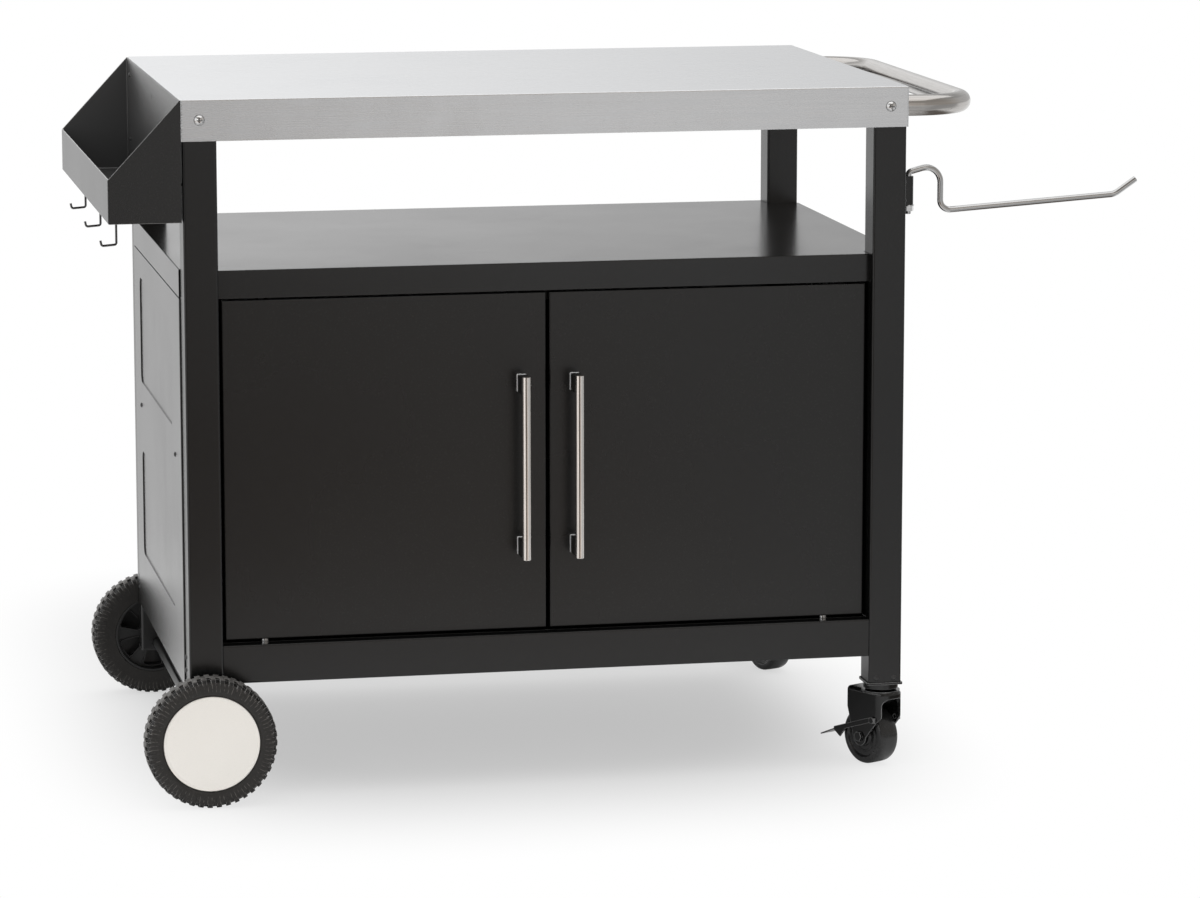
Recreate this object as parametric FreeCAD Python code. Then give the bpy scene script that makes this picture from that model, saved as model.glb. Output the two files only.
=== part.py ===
import FreeCAD, Part
import math
import os

from FreeCAD import Vector

# Grill cart with storage, in millimetres.
# X runs from the tray side to the push handle side, Y from the doors to the back, Z up from the floor.
# The pieces are modelled round the worktop's middle, and moved at the end so that the origin lies
# on the floor under the middle of the whole cart, swivelled casters and hooks included.

# Worktop
worktop_width = 950.0
worktop_depth = 640.0
worktop_height = 908.0
apron_height = 53.0
worktop_sheet = 1.2
apron_return = 12.0
apron_return_from_leg = 4.0
worktop_edge_radius = 1.8
worktop_screw_drop = 26.0
stiffener_width = 44.0
stiffener_depth = 20.0
stiffener_spacing = 220.0
stiffener_end_gap = 22.0

# Legs
leg_side = 44.0
leg_wall = 1.5
leg_corner = 3.0
leg_inset = 2.0
wheel_leg_bottom = 76.0
caster_leg_bottom = 116.0
leg_cap_flange = 2.0
leg_cap_plug = 2.0
plug_clearance = 0.2

# Sheet pieces of the cabinet
cabinet_sheet = 1.2
sheet_gap = 0.5
fold_radius = 1.6

# Shelf
shelf_height = 687.0
shelf_lip = 36.0
shelf_front_setback = 18.0
shelf_back_setback = 4.0

# Bottom rails
rail_height = 50.0
rail_depth = 20.0
rail_wall = 1.5
rail_corner = 2.0
rail_bottom = 152.0
rail_setback = 2.0
rail_screw_spacing = 17.0
rail_screw_height = 21.5
rail_screw_from_edge = 6.0

# Cabinet
side_panel_bottom = 144.0
side_panel_proud = 2.0
side_panel_top_gap = 2.0
side_panel_flange = 8.0
emboss_depth = 1.5
emboss_front_margin = 94.0
emboss_back_margin = 68.0
emboss_height = 148.0
emboss_lower_bottom = 226.0
emboss_upper_bottom = 468.0
emboss_corner = 14.0
floor_lip = 20.0
back_panel_edge = 8.0
inner_shelf_height = 448.0
inner_shelf_lip = 20.0
inner_shelf_front_clearance = 10.0
inner_shelf_back_gap = 4.0
bracket_leg = 22.0
bracket_length = 440.0
bracket_screw_from_end = 15.0
bracket_to_lip = 2.0

# Doors
door_depth = 18.0
door_sheet = 1.2
door_return = 12.0
door_edge_radius = 1.6
door_side_gap = 5.0
door_middle_gap = 5.0
door_top_gap = 3.0
door_bottom_gap = 4.0
pivot_inset = 52.0
pivot_radius = 4.0
pivot_shoulder_radius = 6.0
pivot_engagement = 12.0
pivot_end_play = 0.3
running_clearance = 0.05
head_rail_depth = 20.0
head_rail_wall = 1.5

# Door handles
handle_overhang = 13.0
handle_radius = 6.0
handle_standoff = 38.0
handle_from_middle = 35.0
handle_centre_height = 424.0
handle_foot_spacing = 214.0
handle_foot_height = 23.0
handle_foot_width = 12.0
handle_foot_edge = 1.0
handle_seat_depth = 3.0
handle_end_chamfer = 0.5

# Door catches
catch_width = 44.0
catch_height = 15.0
catch_depth = 13.0
catch_air_gap = 0.5
catch_plate_reach = 12.0
catch_plate_thickness = 1.5
catch_edge_radius = 1.0
strike_width = 18.0
strike_thickness = 1.5
strike_margin = 0.4

# Side tray
tray_depth = 93.0
tray_sheet = 1.2
tray_bottom_drop = 156.0
tray_lip_height = 56.0
tray_top_gap = 1.0
tray_screw_spread = 283.0
tray_high_screw_rise = 4.0
tray_low_screw_drop = 111.0
tray_hole_spread = 143.0
tray_hole_drop = 51.0
tray_hole_radius = 2.0
tray_slot_height = 7.0
tray_slot_width = 3.0

# Tray hooks
hook_wire_radius = 1.5
hook_spacing = 208.0
hook_eye_from_lip = 45.0
hook_drop_from_lip = 21.0
hook_drop = 39.5
hook_foot = 19.0
hook_foot_dip = 1.5
hook_tip_rise = 7.0
hook_tip_lean = 1.5
hook_bend = 3.0
hook_eye_radius = 5.5
hook_eye_overlap = 1.0
hook_nut_across = 7.0
hook_nut_thickness = 3.2
hook_screw_end = 1.3

# Push handle
push_radius = 14.0
push_wall = 1.5
push_reach = 108.0
push_leg_spread = 290.0
push_bend = 70.0
push_drop = 28.0
push_plug = 20.0
push_bolt_radius = 4.0
push_bolt_head_width = 13.0
push_bolt_head_height = 5.3
push_bolt_end_gap = 1.0

# Tank hook
rod_radius = 4.0
swivel_offset = 8.5
bracket_block = 13.0
bracket_block_drop = 120.2
bracket_block_length = 37.3
bracket_block_round = 5.5
bracket_plate_thickness = 2.0
bracket_plate_width = 26.0
bracket_plate_corner = 4.0
bracket_screw_rise = 12.0
bracket_screw_shift = 10.0
rod_tail_drop = 170.0
rod_shoulder_drop = 115.0
rod_crest_drop = 103.5
rod_crest_reach = 43.5
rod_arm_drop = 166.5
rod_arm_reach = 281.5
rod_arm_end_drop = 150.4
rod_tip_reach = 310.5
rod_tip_drop = 130.5
rod_neck_bend = 6.0
rod_crest_bend = 20.0
rod_foot_bend = 13.0
rod_tip_bend = 22.0
rod_nut_width = 13.0
rod_nut_height = 8.0
rod_washer_radius = 8.0
rod_washer_thickness = 1.5

# Axle and wheels
axle_radius = 6.0
wheel_radius = 85.0
wheel_half_width = 20.0
wheel_offset = 29.5
rim_radius = 60.0
rim_inner_radius = 50.0
rim_inset = 4.0
hub_boss_radius = 15.0
hub_web_half = 3.0
hub_inner_end = 18.0
hub_outer_end = 9.0
rim_lip_radius = 53.0
rim_lip_height = 2.0
window_count = 6
window_turn = 33.0
window_inner_radius = 20.0
window_outer_radius = 46.5
window_corner = 3.0
window_wall = 1.5
window_wall_height = 3.0
tyre_seat_gap = 0.1
tyre_bead_height = 6.0
tyre_bead_inset = 1.5
tyre_wall_height = 12.0
tyre_shoulder = 6.0
tyre_shoulder_inset = 1.0
tyre_crown_shoulder = 4.5
tyre_crown_drop = 0.8
tyre_crown_inset = 7.5
tread_groove_count = 44
tread_groove_width = 5.5
tread_groove_depth = 3.0
tread_middle_rib = 8.0
cap_radius = 62.0
cap_thickness = 2.0
cap_edge_radius = 1.4
cap_skirt_wall = 2.0
cap_skirt_gap = 0.3
cap_skirt_depth = 6.0
spacer_radius = 10.0
axle_nut_width = 19.0
axle_nut_height = 6.0
axle_chamfer = 0.8
side_play = 0.3

# Casters
caster_wheel_radius = 38.0
caster_wheel_width = 32.0
caster_trail = 18.0
caster_front_turn = 118.0
caster_back_turn = 112.0
caster_plate_side = 48.0
caster_plate_thickness = 3.0
caster_plug_height = 20.0
plug_screw_rise = 6.0
plug_screw_spread = 12.0
race_radius = 23.0
race_taper = 3.0
kingpin_radius = 5.0
kingpin_head_radius = 9.0
kingpin_head_height = 4.0
fork_top = 103.0
fork_sheet = 2.5
fork_inner_half = 18.5
fork_front = 26.0
fork_back = 42.0
fork_corner = 15.0
fork_top_round = 5.0
fork_skirt_bottom = 74.0
fork_arch_half = 17.0
fork_arch_top = 93.0
fork_arch_round = 9.0
cheek_shoulder = 24.0
cheek_foot_radius = 12.5
caster_hub_radius = 15.0
caster_hub_face_radius = 13.0
caster_boss_radius = 8.0
caster_recess = 3.0
caster_rim_inset = 11.0
caster_tread_inset = 8.0
caster_tread_shoulder = 4.0
caster_tread_edge = 1.2
caster_bolt_radius = 4.0
caster_bolt_head_width = 12.0
caster_bolt_head_height = 3.5
brake_pivot_x = -8.0
brake_pivot_height = 64.0
brake_pin_radius = 3.0
brake_pin_head = 1.4
brake_pin_head_rim = 1.5
brake_arm_sheet = 2.0
brake_arm_depth = 7.0
brake_arm_nose = 6.0
brake_arm_straight = 4.0
brake_gusset_reach = 20.0
brake_gusset_depth = 5.0
brake_pedal_sheet = 1.8
brake_pedal_lap = 2.0
brake_pedal_start = 64.0
brake_pedal_end = 92.0
brake_start_height = 40.0
brake_end_height = 28.0

# Small fasteners
pan_head_radius = 7.0
pan_head_height = 4.5
pan_shank_radius = 3.0
pan_shank_length = 12.0
small_head_radius = 3.6
small_head_height = 2.0
small_shank_radius = 2.0
small_shank_length = 7.0
screw_clearance = 0.1

# How far a cut runs past a face, and how far two parts of one piece run into each other
past = 1.0
join = 0.2

# Places worked out from the sizes above
sheet_top = worktop_height - worktop_sheet
apron_bottom = worktop_height - apron_height
leg_x = worktop_width / 2 - leg_inset - leg_side / 2
leg_y = worktop_depth / 2 - leg_inset - leg_side / 2
leg_inner_x = leg_x - leg_side / 2
leg_inner_y = leg_y - leg_side / 2
leg_outer_x = leg_x + leg_side / 2
leg_outer_y = leg_y + leg_side / 2
rail_top = rail_bottom + rail_height
shelf_front = -leg_outer_y + shelf_front_setback
shelf_back = leg_outer_y - shelf_back_setback
shelf_lip_bottom = shelf_height - shelf_lip
shelf_underside = shelf_height - cabinet_sheet
door_front = shelf_front
door_back = door_front + door_depth
door_bottom = rail_top + door_bottom_gap
door_top = shelf_lip_bottom - door_top_gap
door_outer = leg_inner_x - door_side_gap
door_inner = door_middle_gap / 2
pivot_x = door_outer - pivot_inset
pivot_y = (door_front + door_back) / 2
rail_front = -leg_outer_y + rail_setback
rail_back = rail_front + rail_depth
panel_outer_x = leg_outer_x + side_panel_proud
panel_inner_x = panel_outer_x - cabinet_sheet
panel_top = shelf_lip_bottom - side_panel_top_gap
rim_face = wheel_half_width - rim_inset
floor_underside = rail_top - cabinet_sheet
wheel_centre_y = leg_outer_y + wheel_offset
axle_height = wheel_radius
handle_length = handle_foot_spacing + 2 * handle_overhang
push_height = worktop_height - push_drop
tray_bottom = worktop_height - tray_bottom_drop
tray_low_screw_height = worktop_height - tray_low_screw_drop
bracket_block_top = worktop_height - bracket_block_drop
bracket_block_bottom = bracket_block_top - bracket_block_length
rod_tail_height = worktop_height - rod_tail_drop
rod_shoulder_height = worktop_height - rod_shoulder_drop
rod_crest_height = worktop_height - rod_crest_drop
rod_arm_height = worktop_height - rod_arm_drop
rod_arm_end_height = worktop_height - rod_arm_end_drop
rod_tip_height = worktop_height - rod_tip_drop
swivel_x = leg_outer_x + swivel_offset


def box(x0, x1, y0, y1, z0, z1):
    return Part.makeBox(x1 - x0, y1 - y0, z1 - z0, Vector(x0, y0, z0))


def cylinder(start, direction, radius, length):
    return Part.makeCylinder(radius, length, Vector(*start), Vector(*direction))


def fused(pieces):
    return pieces[0].multiFuse(pieces[1:]).removeSplitter()


def edges_along(shape, axis, test=None):
    """The straight edges parallel to an axis, whose middle passes the test."""
    found = []
    for edge in shape.Edges:
        a = edge.firstVertex().Point
        b = edge.lastVertex().Point
        run = b - a
        if run.Length < 1e-6 or abs(run.normalize().dot(Vector(*axis))) < 0.999:
            continue
        if test is None or test((a + b) * 0.5):
            found.append(edge)
    return found


def edges_at_height(shape, height):
    """The edges that lie flat at one height."""
    return [
        edge
        for edge in shape.Edges
        if abs(edge.BoundBox.ZMin - height) < 1e-4 and abs(edge.BoundBox.ZMax - height) < 1e-4
    ]


def mirror_x(shape):
    return shape.mirror(Vector(0, 0, 0), Vector(1, 0, 0))


def mirror_y(shape):
    return shape.mirror(Vector(0, 0, 0), Vector(0, 1, 0))


def prism(points, direction):
    """A prism from a closed outline of (x, y, z) points."""
    corners = [Vector(*p) for p in points]
    return Part.Face(Part.makePolygon(corners + corners[:1])).extrude(Vector(*direction))


def revolved(outline, origin, axis, radial):
    """A full turn of an outline of (distance along the axis, radius) points."""
    o = Vector(*origin)
    a = Vector(*axis)
    r = Vector(*radial)
    corners = [o + a * along + r * out for along, out in outline]
    return Part.Face(Part.makePolygon(corners + corners[:1])).revolve(o, a, 360)


def rod(points, radii, radius):
    """A round bar along straight runs, joined by arcs tangent to both at the inner points."""
    corners = [Vector(*p) for p in points]
    solids = []
    start = corners[0]
    for before, corner, after, bend in zip(corners, corners[1:], corners[2:], radii):
        into = (corner - before).normalize()
        out = (after - corner).normalize()
        turn = math.acos(max(-1.0, min(1.0, into.dot(out))))
        cut_back = bend * math.tan(turn / 2)
        arc_start = corner - into * cut_back
        normal = into.cross(out).normalize()
        centre = arc_start + normal.cross(into) * bend
        solids.append(Part.makeCylinder(radius, (arc_start - start).Length, start, into))
        ring = Part.Face(Part.Wire(Part.makeCircle(radius, arc_start, into)))
        solids.append(ring.revolve(centre, normal, math.degrees(turn)))
        start = corner + out * cut_back
    last = (corners[-1] - start).normalize()
    solids.append(Part.makeCylinder(radius, (corners[-1] - start).Length, start, last))
    return fused(solids)


def hexagon(centre, axis, width, height):
    """A hexagonal nut or head, by its width across flats."""
    face = Part.Face(
        Part.makePolygon(
            [
                Vector(
                    width / math.sqrt(3) * math.cos(math.radians(60 * k)),
                    width / math.sqrt(3) * math.sin(math.radians(60 * k)),
                    0,
                )
                for k in range(7)
            ]
        )
    )
    solid = face.extrude(Vector(0, 0, height))
    turn = FreeCAD.Rotation(Vector(0, 0, 1), Vector(*axis))
    solid.Placement = FreeCAD.Placement(Vector(*centre), turn)
    return solid


def domed_screw(seat, outward, head_radius, head_height, shank_radius, shank_length):
    """A pan-head screw: its head stands outward of the seat and its shank goes in."""
    out = Vector(*outward)
    sphere_radius = (head_radius ** 2 + head_height ** 2) / (2 * head_height)
    ball_centre = Vector(*seat) + out * (head_height - sphere_radius)
    ball = Part.makeSphere(sphere_radius, ball_centre)
    keep = Part.makeCylinder(head_radius, head_height, Vector(*seat), out)
    shank = Part.makeCylinder(shank_radius, shank_length, Vector(*seat), out * -1)
    return fused([ball.common(keep), shank])


def pan_screw(seat, outward):
    return domed_screw(
        seat, outward, pan_head_radius, pan_head_height, pan_shank_radius, pan_shank_length
    )


def small_screw(seat, outward, length=small_shank_length):
    return domed_screw(seat, outward, small_head_radius, small_head_height, small_shank_radius, length)


def drilled(shape, places, direction, radius, reach=small_shank_length + past):
    """Round holes through the wall at each place, reaching both ways along the direction."""
    d = Vector(*direction)
    holes = [Part.makeCylinder(radius, 2 * reach, Vector(*p) - d * reach, d) for p in places]
    return shape.cut(Part.makeCompound(holes))


def cross_block(half_x_mid, half_x_end, y_front, y_back, half_y_mid, z0, z1):
    """A block notched at its four corners, where the legs stand."""
    return fused(
        [
            box(-half_x_end, half_x_end, y_front, y_back, z0, z1),
            box(-half_x_mid, half_x_mid, -half_y_mid, half_y_mid, z0, z1),
        ]
    )


# Screw and bolt places, shared by the pieces that they join
small_hole = small_shank_radius + screw_clearance
worktop_screw_height = worktop_height - worktop_screw_drop
worktop_screw_places = [
    (side * leg_x, end * worktop_depth / 2, worktop_screw_height) for side in (-1, 1) for end in (-1, 1)
]
rail_screw_y = leg_inner_y + rail_screw_from_edge
rail_screw_heights = [
    rail_bottom + rail_screw_height - rail_screw_spacing / 2,
    rail_bottom + rail_screw_height + rail_screw_spacing / 2,
]
bracket_screw_height = inner_shelf_height - cabinet_sheet - bracket_leg / 2
bracket_screw_reach = bracket_length / 2 - bracket_screw_from_end
bracket_screw_y = [-bracket_screw_reach, bracket_screw_reach]
tray_high_screw_height = worktop_screw_height + tray_high_screw_rise
tray_back_x = -worktop_width / 2
tray_lip_x = tray_back_x - tray_depth
hook_eye_x = tray_lip_x + hook_eye_from_lip
hook_places = [-hook_spacing, 0.0, hook_spacing]
bracket_middle = (bracket_block_bottom + bracket_block_top) / 2
hook_screw_heights = [bracket_middle - bracket_screw_rise, bracket_middle + bracket_screw_rise]
hook_screw_y = [-leg_y - bracket_screw_shift, -leg_y + bracket_screw_shift]
plug_screw_height = caster_leg_bottom + plug_screw_rise
plug_screw_shifts = [-plug_screw_spread, plug_screw_spread]


# Worktop: one folded sheet with an apron and a return along the bottom of each side
def make_worktop():
    half_x = worktop_width / 2
    half_y = worktop_depth / 2
    outer = box(-half_x, half_x, -half_y, half_y, apron_bottom, worktop_height)
    outer = outer.makeFillet(
        worktop_edge_radius, edges_at_height(outer, worktop_height) + edges_along(outer, (0, 0, 1))
    )
    in_x = half_x - worktop_sheet
    in_y = half_y - worktop_sheet
    hollow = box(-in_x, in_x, -in_y, in_y, apron_bottom - past, sheet_top)
    shell = outer.cut(hollow)
    return_x = leg_inner_x - apron_return_from_leg
    return_y = leg_inner_y - apron_return_from_leg
    z1 = apron_bottom + worktop_sheet
    front = box(-return_x, return_x, -in_y - join, -in_y + apron_return, apron_bottom, z1)
    left = box(-in_x - join, -in_x + apron_return, -return_y, return_y, apron_bottom, z1)
    shell = fused([shell, front, mirror_y(front), left, mirror_x(left)])
    hole = pan_shank_radius + screw_clearance
    shell = drilled(shell, worktop_screw_places, (0, 1, 0), hole)
    push_places = [(half_x, side * push_leg_spread, push_height) for side in (-1, 1)]
    shell = drilled(shell, push_places, (1, 0, 0), push_bolt_radius + screw_clearance)
    tray_places = [(-half_x, side * tray_screw_spread, tray_high_screw_height) for side in (-1, 1)]
    return drilled(shell, tray_places, (1, 0, 0), small_hole)


# Stiffeners: two open hat sections under the worktop
def make_stiffeners():
    reach = worktop_width / 2 - stiffener_end_gap
    half = stiffener_width / 2
    hats = []
    for side in (-1, 1):
        y = side * stiffener_spacing / 2
        outer = box(-reach, reach, y - half, y + half, sheet_top - stiffener_depth, sheet_top)
        inner = box(
            -reach - past,
            reach + past,
            y - half + cabinet_sheet,
            y + half - cabinet_sheet,
            sheet_top - stiffener_depth + cabinet_sheet,
            sheet_top + past,
        )
        hats.append(outer.cut(inner))
    return Part.makeCompound(hats)


# Legs: square tubes with rounded corners, drilled for what is screwed to them
def make_leg(side, end):
    x = side * leg_x
    y = end * leg_y
    bottom = wheel_leg_bottom if side < 0 else caster_leg_bottom
    half = leg_side / 2
    outer = box(x - half, x + half, y - half, y + half, bottom, sheet_top)
    outer = outer.makeFillet(leg_corner, edges_along(outer, (0, 0, 1)))
    half_in = half - leg_wall
    inner = box(x - half_in, x + half_in, y - half_in, y + half_in, bottom - past, sheet_top + past)
    inner = inner.makeFillet(leg_corner - leg_wall, edges_along(inner, (0, 0, 1)))
    leg = outer.cut(inner)
    worktop_places = [(x, end * leg_outer_y, worktop_screw_height)]
    leg = drilled(leg, worktop_places, (0, 1, 0), pan_shank_radius + screw_clearance)
    rail_places = [(side * leg_outer_x, end * rail_screw_y, z) for z in rail_screw_heights]
    leg = drilled(leg, rail_places, (1, 0, 0), small_hole)
    if side < 0:
        leg = drilled(leg, [(x, y, axle_height)], (0, 1, 0), axle_radius + screw_clearance, leg_side)
        tray_heights = (tray_high_screw_height, tray_low_screw_height)
        tray_places = [(-leg_outer_x, end * tray_screw_spread, z) for z in tray_heights]
        return drilled(leg, tray_places, (1, 0, 0), small_hole)
    push_places = [(leg_outer_x, end * push_leg_spread, push_height)]
    leg = drilled(leg, push_places, (1, 0, 0), push_bolt_radius + screw_clearance)
    plug_places = [(x + shift, end * leg_outer_y, plug_screw_height) for shift in plug_screw_shifts]
    leg = drilled(leg, plug_places, (0, 1, 0), small_hole)
    if end < 0:
        hook_places_here = [(leg_outer_x, by, bz) for by in hook_screw_y for bz in hook_screw_heights]
        leg = drilled(leg, hook_places_here, (1, 0, 0), small_hole)
    return leg


# Caps: plastic plugs in the open ends of the two wheel legs
def make_leg_caps():
    caps = []
    for end in (-1, 1):
        half = leg_side / 2
        plug_half = half - leg_wall - plug_clearance
        y = end * leg_y
        flange_bottom = wheel_leg_bottom - leg_cap_flange
        flange = box(-leg_x - half, -leg_x + half, y - half, y + half, flange_bottom, wheel_leg_bottom)
        flange = flange.makeFillet(leg_corner, edges_along(flange, (0, 0, 1)))
        plug = box(
            -leg_x - plug_half,
            -leg_x + plug_half,
            y - plug_half,
            y + plug_half,
            wheel_leg_bottom,
            wheel_leg_bottom + leg_cap_plug,
        )
        plug = plug.makeFillet(leg_corner - leg_wall, edges_along(plug, (0, 0, 1)))
        caps.append(fused([flange, plug]))
    return Part.makeCompound(caps)


# Bottom rails: rectangular tubes between the legs
def tube_along_x(x0, x1, y0, y1, z0, z1, wall, corner):
    outer = box(x0, x1, y0, y1, z0, z1)
    outer = outer.makeFillet(corner, edges_along(outer, (1, 0, 0)))
    inner = box(x0 - past, x1 + past, y0 + wall, y1 - wall, z0 + wall, z1 - wall)
    return outer.cut(inner)


def make_long_rail(end):
    rail = tube_along_x(
        -leg_inner_x, leg_inner_x, rail_front, rail_back, rail_bottom, rail_top, rail_wall, rail_corner
    )
    return rail if end < 0 else mirror_y(rail)


def make_side_rail(side):
    y1 = leg_inner_y
    x0 = leg_x - rail_depth / 2
    outer = box(x0, x0 + rail_depth, -y1, y1, rail_bottom, floor_underside)
    outer = outer.makeFillet(rail_corner, edges_along(outer, (0, 1, 0)))
    inner = box(
        x0 + rail_wall,
        x0 + rail_depth - rail_wall,
        -y1 - past,
        y1 + past,
        rail_bottom + rail_wall,
        floor_underside - rail_wall,
    )
    rail = outer.cut(inner)
    return rail if side > 0 else mirror_x(rail)


# Cabinet floor: a flat sheet notched round the legs, with a lip behind the front and back rails
def make_floor():
    side_x = panel_inner_x - emboss_depth - sheet_gap
    end_x = leg_inner_x - sheet_gap
    reach_y = -rail_back
    side_y = leg_inner_y - cabinet_sheet - sheet_gap
    sheet = cross_block(side_x, end_x, -reach_y, reach_y, side_y, floor_underside, rail_top)
    lip_y = -reach_y + cabinet_sheet
    lip = box(-end_x, end_x, -reach_y, lip_y, rail_top - floor_lip, floor_underside + join)
    return fused([sheet, lip, mirror_y(lip)])


# Side panels: sheets between the legs, with two pressed fields and a flange at each leg
def emboss_fields():
    y0 = -leg_inner_y + emboss_front_margin
    y1 = leg_inner_y - emboss_back_margin
    return [(y0, y1, z, z + emboss_height) for z in (emboss_lower_bottom, emboss_upper_bottom)]


def rounded_field(x0, x1, y0, y1, z0, z1, corner):
    block = box(x0, x1, y0, y1, z0, z1)
    return block.makeFillet(corner, edges_along(block, (1, 0, 0)))


def make_side_panel(side):
    sheet = box(panel_inner_x, panel_outer_x, -leg_inner_y, leg_inner_y, side_panel_bottom, panel_top)
    flange = box(
        panel_outer_x - side_panel_flange,
        panel_inner_x + join,
        -leg_inner_y,
        -leg_inner_y + cabinet_sheet,
        side_panel_bottom,
        panel_top,
    )
    pieces = [sheet, flange, mirror_y(flange)]
    pockets = []
    for y0, y1, z0, z1 in emboss_fields():
        boss_x = panel_inner_x - emboss_depth
        pieces.append(rounded_field(boss_x, panel_inner_x + join, y0, y1, z0, z1, emboss_corner))
        wall = cabinet_sheet
        pockets.append(
            rounded_field(
                boss_x + wall,
                panel_outer_x + past,
                y0 + wall,
                y1 - wall,
                z0 + wall,
                z1 - wall,
                emboss_corner - wall,
            )
        )
    folded = fused(pieces)
    fold_y = leg_inner_y - past
    folds = edges_along(folded, (0, 0, 1), lambda p: p.x > panel_outer_x - past and abs(p.y) > fold_y)
    panel = folded.makeFillet(fold_radius, folds).cut(Part.makeCompound(pockets))
    screw_places = [(panel_outer_x, y, bracket_screw_height) for y in bracket_screw_y]
    panel = drilled(panel, screw_places, (1, 0, 0), small_hole)
    return panel if side > 0 else mirror_x(panel)


# Back panel: a flat sheet behind the cabinet with a narrow stiffening edge, standing on the back rail
def make_back_panel():
    x1 = leg_inner_x
    y0 = -rail_front - rail_depth / 2
    sheet = box(-x1, x1, y0, y0 + cabinet_sheet, rail_top, panel_top)
    edge = box(-x1, x1, y0 - back_panel_edge, y0 + join, panel_top - cabinet_sheet, panel_top)
    return fused([sheet, edge])


# Shelf: a folded sheet with a deep lip, notched round the four legs
def make_shelf():
    end_x = leg_inner_x
    half_y = leg_inner_y
    outer = cross_block(panel_outer_x, end_x, shelf_front, shelf_back, half_y, shelf_lip_bottom, shelf_height)
    outer = outer.makeFillet(fold_radius, edges_at_height(outer, shelf_height))
    s = cabinet_sheet
    inner = cross_block(
        panel_outer_x - s,
        end_x - s,
        shelf_front + s,
        shelf_back - s,
        half_y - s,
        shelf_lip_bottom - past,
        shelf_underside,
    )
    return outer.cut(inner)


# Head rail: a tube behind the shelf's front lip, which carries the upper pivots and the catches
def make_head_rail():
    half_x = leg_inner_x - cabinet_sheet - sheet_gap
    y0 = shelf_front + cabinet_sheet
    return tube_along_x(
        -half_x,
        half_x,
        y0,
        y0 + head_rail_depth,
        shelf_lip_bottom,
        shelf_underside,
        head_rail_wall,
        fold_radius,
    )


# Inner shelf and the two angle brackets that carry it
def make_inner_shelf():
    half_x = panel_inner_x - sheet_gap
    y0 = pivot_y + math.hypot(pivot_inset, door_depth / 2) + inner_shelf_front_clearance
    y1 = leg_inner_y - inner_shelf_back_gap
    top = inner_shelf_height
    sheet = box(-half_x, half_x, y0, y1, top - cabinet_sheet, top)
    lip_half = half_x - bracket_leg - bracket_to_lip
    front = box(-lip_half, lip_half, y0, y0 + cabinet_sheet, top - inner_shelf_lip, top - join)
    back = box(-lip_half, lip_half, y1 - cabinet_sheet, y1, top - inner_shelf_lip, top - join)
    return fused([sheet, front, back])


def make_brackets():
    half = bracket_length / 2
    top = inner_shelf_height - cabinet_sheet
    upright_x = panel_inner_x - cabinet_sheet
    upright = box(upright_x, panel_inner_x, -half, half, top - bracket_leg, top - join)
    ledge = box(panel_inner_x - bracket_leg, panel_inner_x, -half, half, top - cabinet_sheet, top)
    angle = fused([upright, ledge])
    places = [(panel_inner_x, y, bracket_screw_height) for y in bracket_screw_y]
    angle = drilled(angle, places, (1, 0, 0), small_hole)
    return Part.makeCompound([angle, mirror_x(angle)])


# Doors: folded pans, with a return round the open back and a bore for each pivot
def make_door(side):
    outer = box(door_inner, door_outer, door_front, door_back, door_bottom, door_top)
    front_edges = [e for e in outer.Edges if abs(e.BoundBox.YMax - door_front) < 1e-4]
    outer = outer.makeFillet(door_edge_radius, front_edges)
    s = door_sheet
    hollow = box(
        door_inner + s, door_outer - s, door_front + s, door_back - s, door_bottom + s, door_top - s
    )
    r = door_return
    mouth_front = door_back - 2 * s
    mouth = box(
        door_inner + r, door_outer - r, mouth_front, door_back + past, door_bottom + r, door_top - r
    )
    pan = outer.cut(fused([hollow, mouth]))
    bores = [(pivot_x, pivot_y, door_bottom), (pivot_x, pivot_y, door_top)]
    pan = drilled(pan, bores, (0, 0, 1), pivot_radius + running_clearance)
    return pan if side > 0 else mirror_x(pan)


# Pivot pins: shouldered pins under and over each door
def make_pivot_pins():
    pins = []
    for side in (-1, 1):
        ends = ((rail_top, 1, door_bottom_gap), (shelf_lip_bottom, -1, door_top_gap))
        for height, up, gap in ends:
            seat = (side * pivot_x, pivot_y, height)
            shoulder = cylinder(seat, (0, 0, up), pivot_shoulder_radius, gap - pivot_end_play)
            pin = cylinder(seat, (0, 0, up), pivot_radius, gap + pivot_engagement)
            pins.append(fused([shoulder, pin]))
    return Part.makeCompound(pins)


# Door handles: a round bar on two block feet that are hollowed to its curve
def make_handle_bar(side):
    y = door_front - handle_standoff
    z0 = handle_centre_height - handle_length / 2
    bar = cylinder((handle_from_middle, y, z0), (0, 0, 1), handle_radius, handle_length)
    rims = [e for e in bar.Edges if e.BoundBox.ZLength < 1e-4]
    bar = bar.makeChamfer(handle_end_chamfer, rims)
    return bar if side > 0 else mirror_x(bar)


def make_handle_feet(side):
    feet = []
    half = handle_foot_width / 2
    y = door_front - handle_standoff
    for end in (-1, 1):
        z = handle_centre_height + end * handle_foot_spacing / 2
        foot = box(
            handle_from_middle - half,
            handle_from_middle + half,
            y + handle_radius - handle_seat_depth,
            door_front,
            z - handle_foot_height / 2,
            z + handle_foot_height / 2,
        )
        foot = foot.makeFillet(handle_foot_edge, edges_along(foot, (0, 1, 0)))
        seat = cylinder(
            (handle_from_middle, y, z - handle_foot_height),
            (0, 0, 1),
            handle_radius + running_clearance,
            2 * handle_foot_height,
        )
        foot = foot.cut(seat)
        feet.append(foot if side > 0 else mirror_x(foot))
    return Part.makeCompound(feet)


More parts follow.
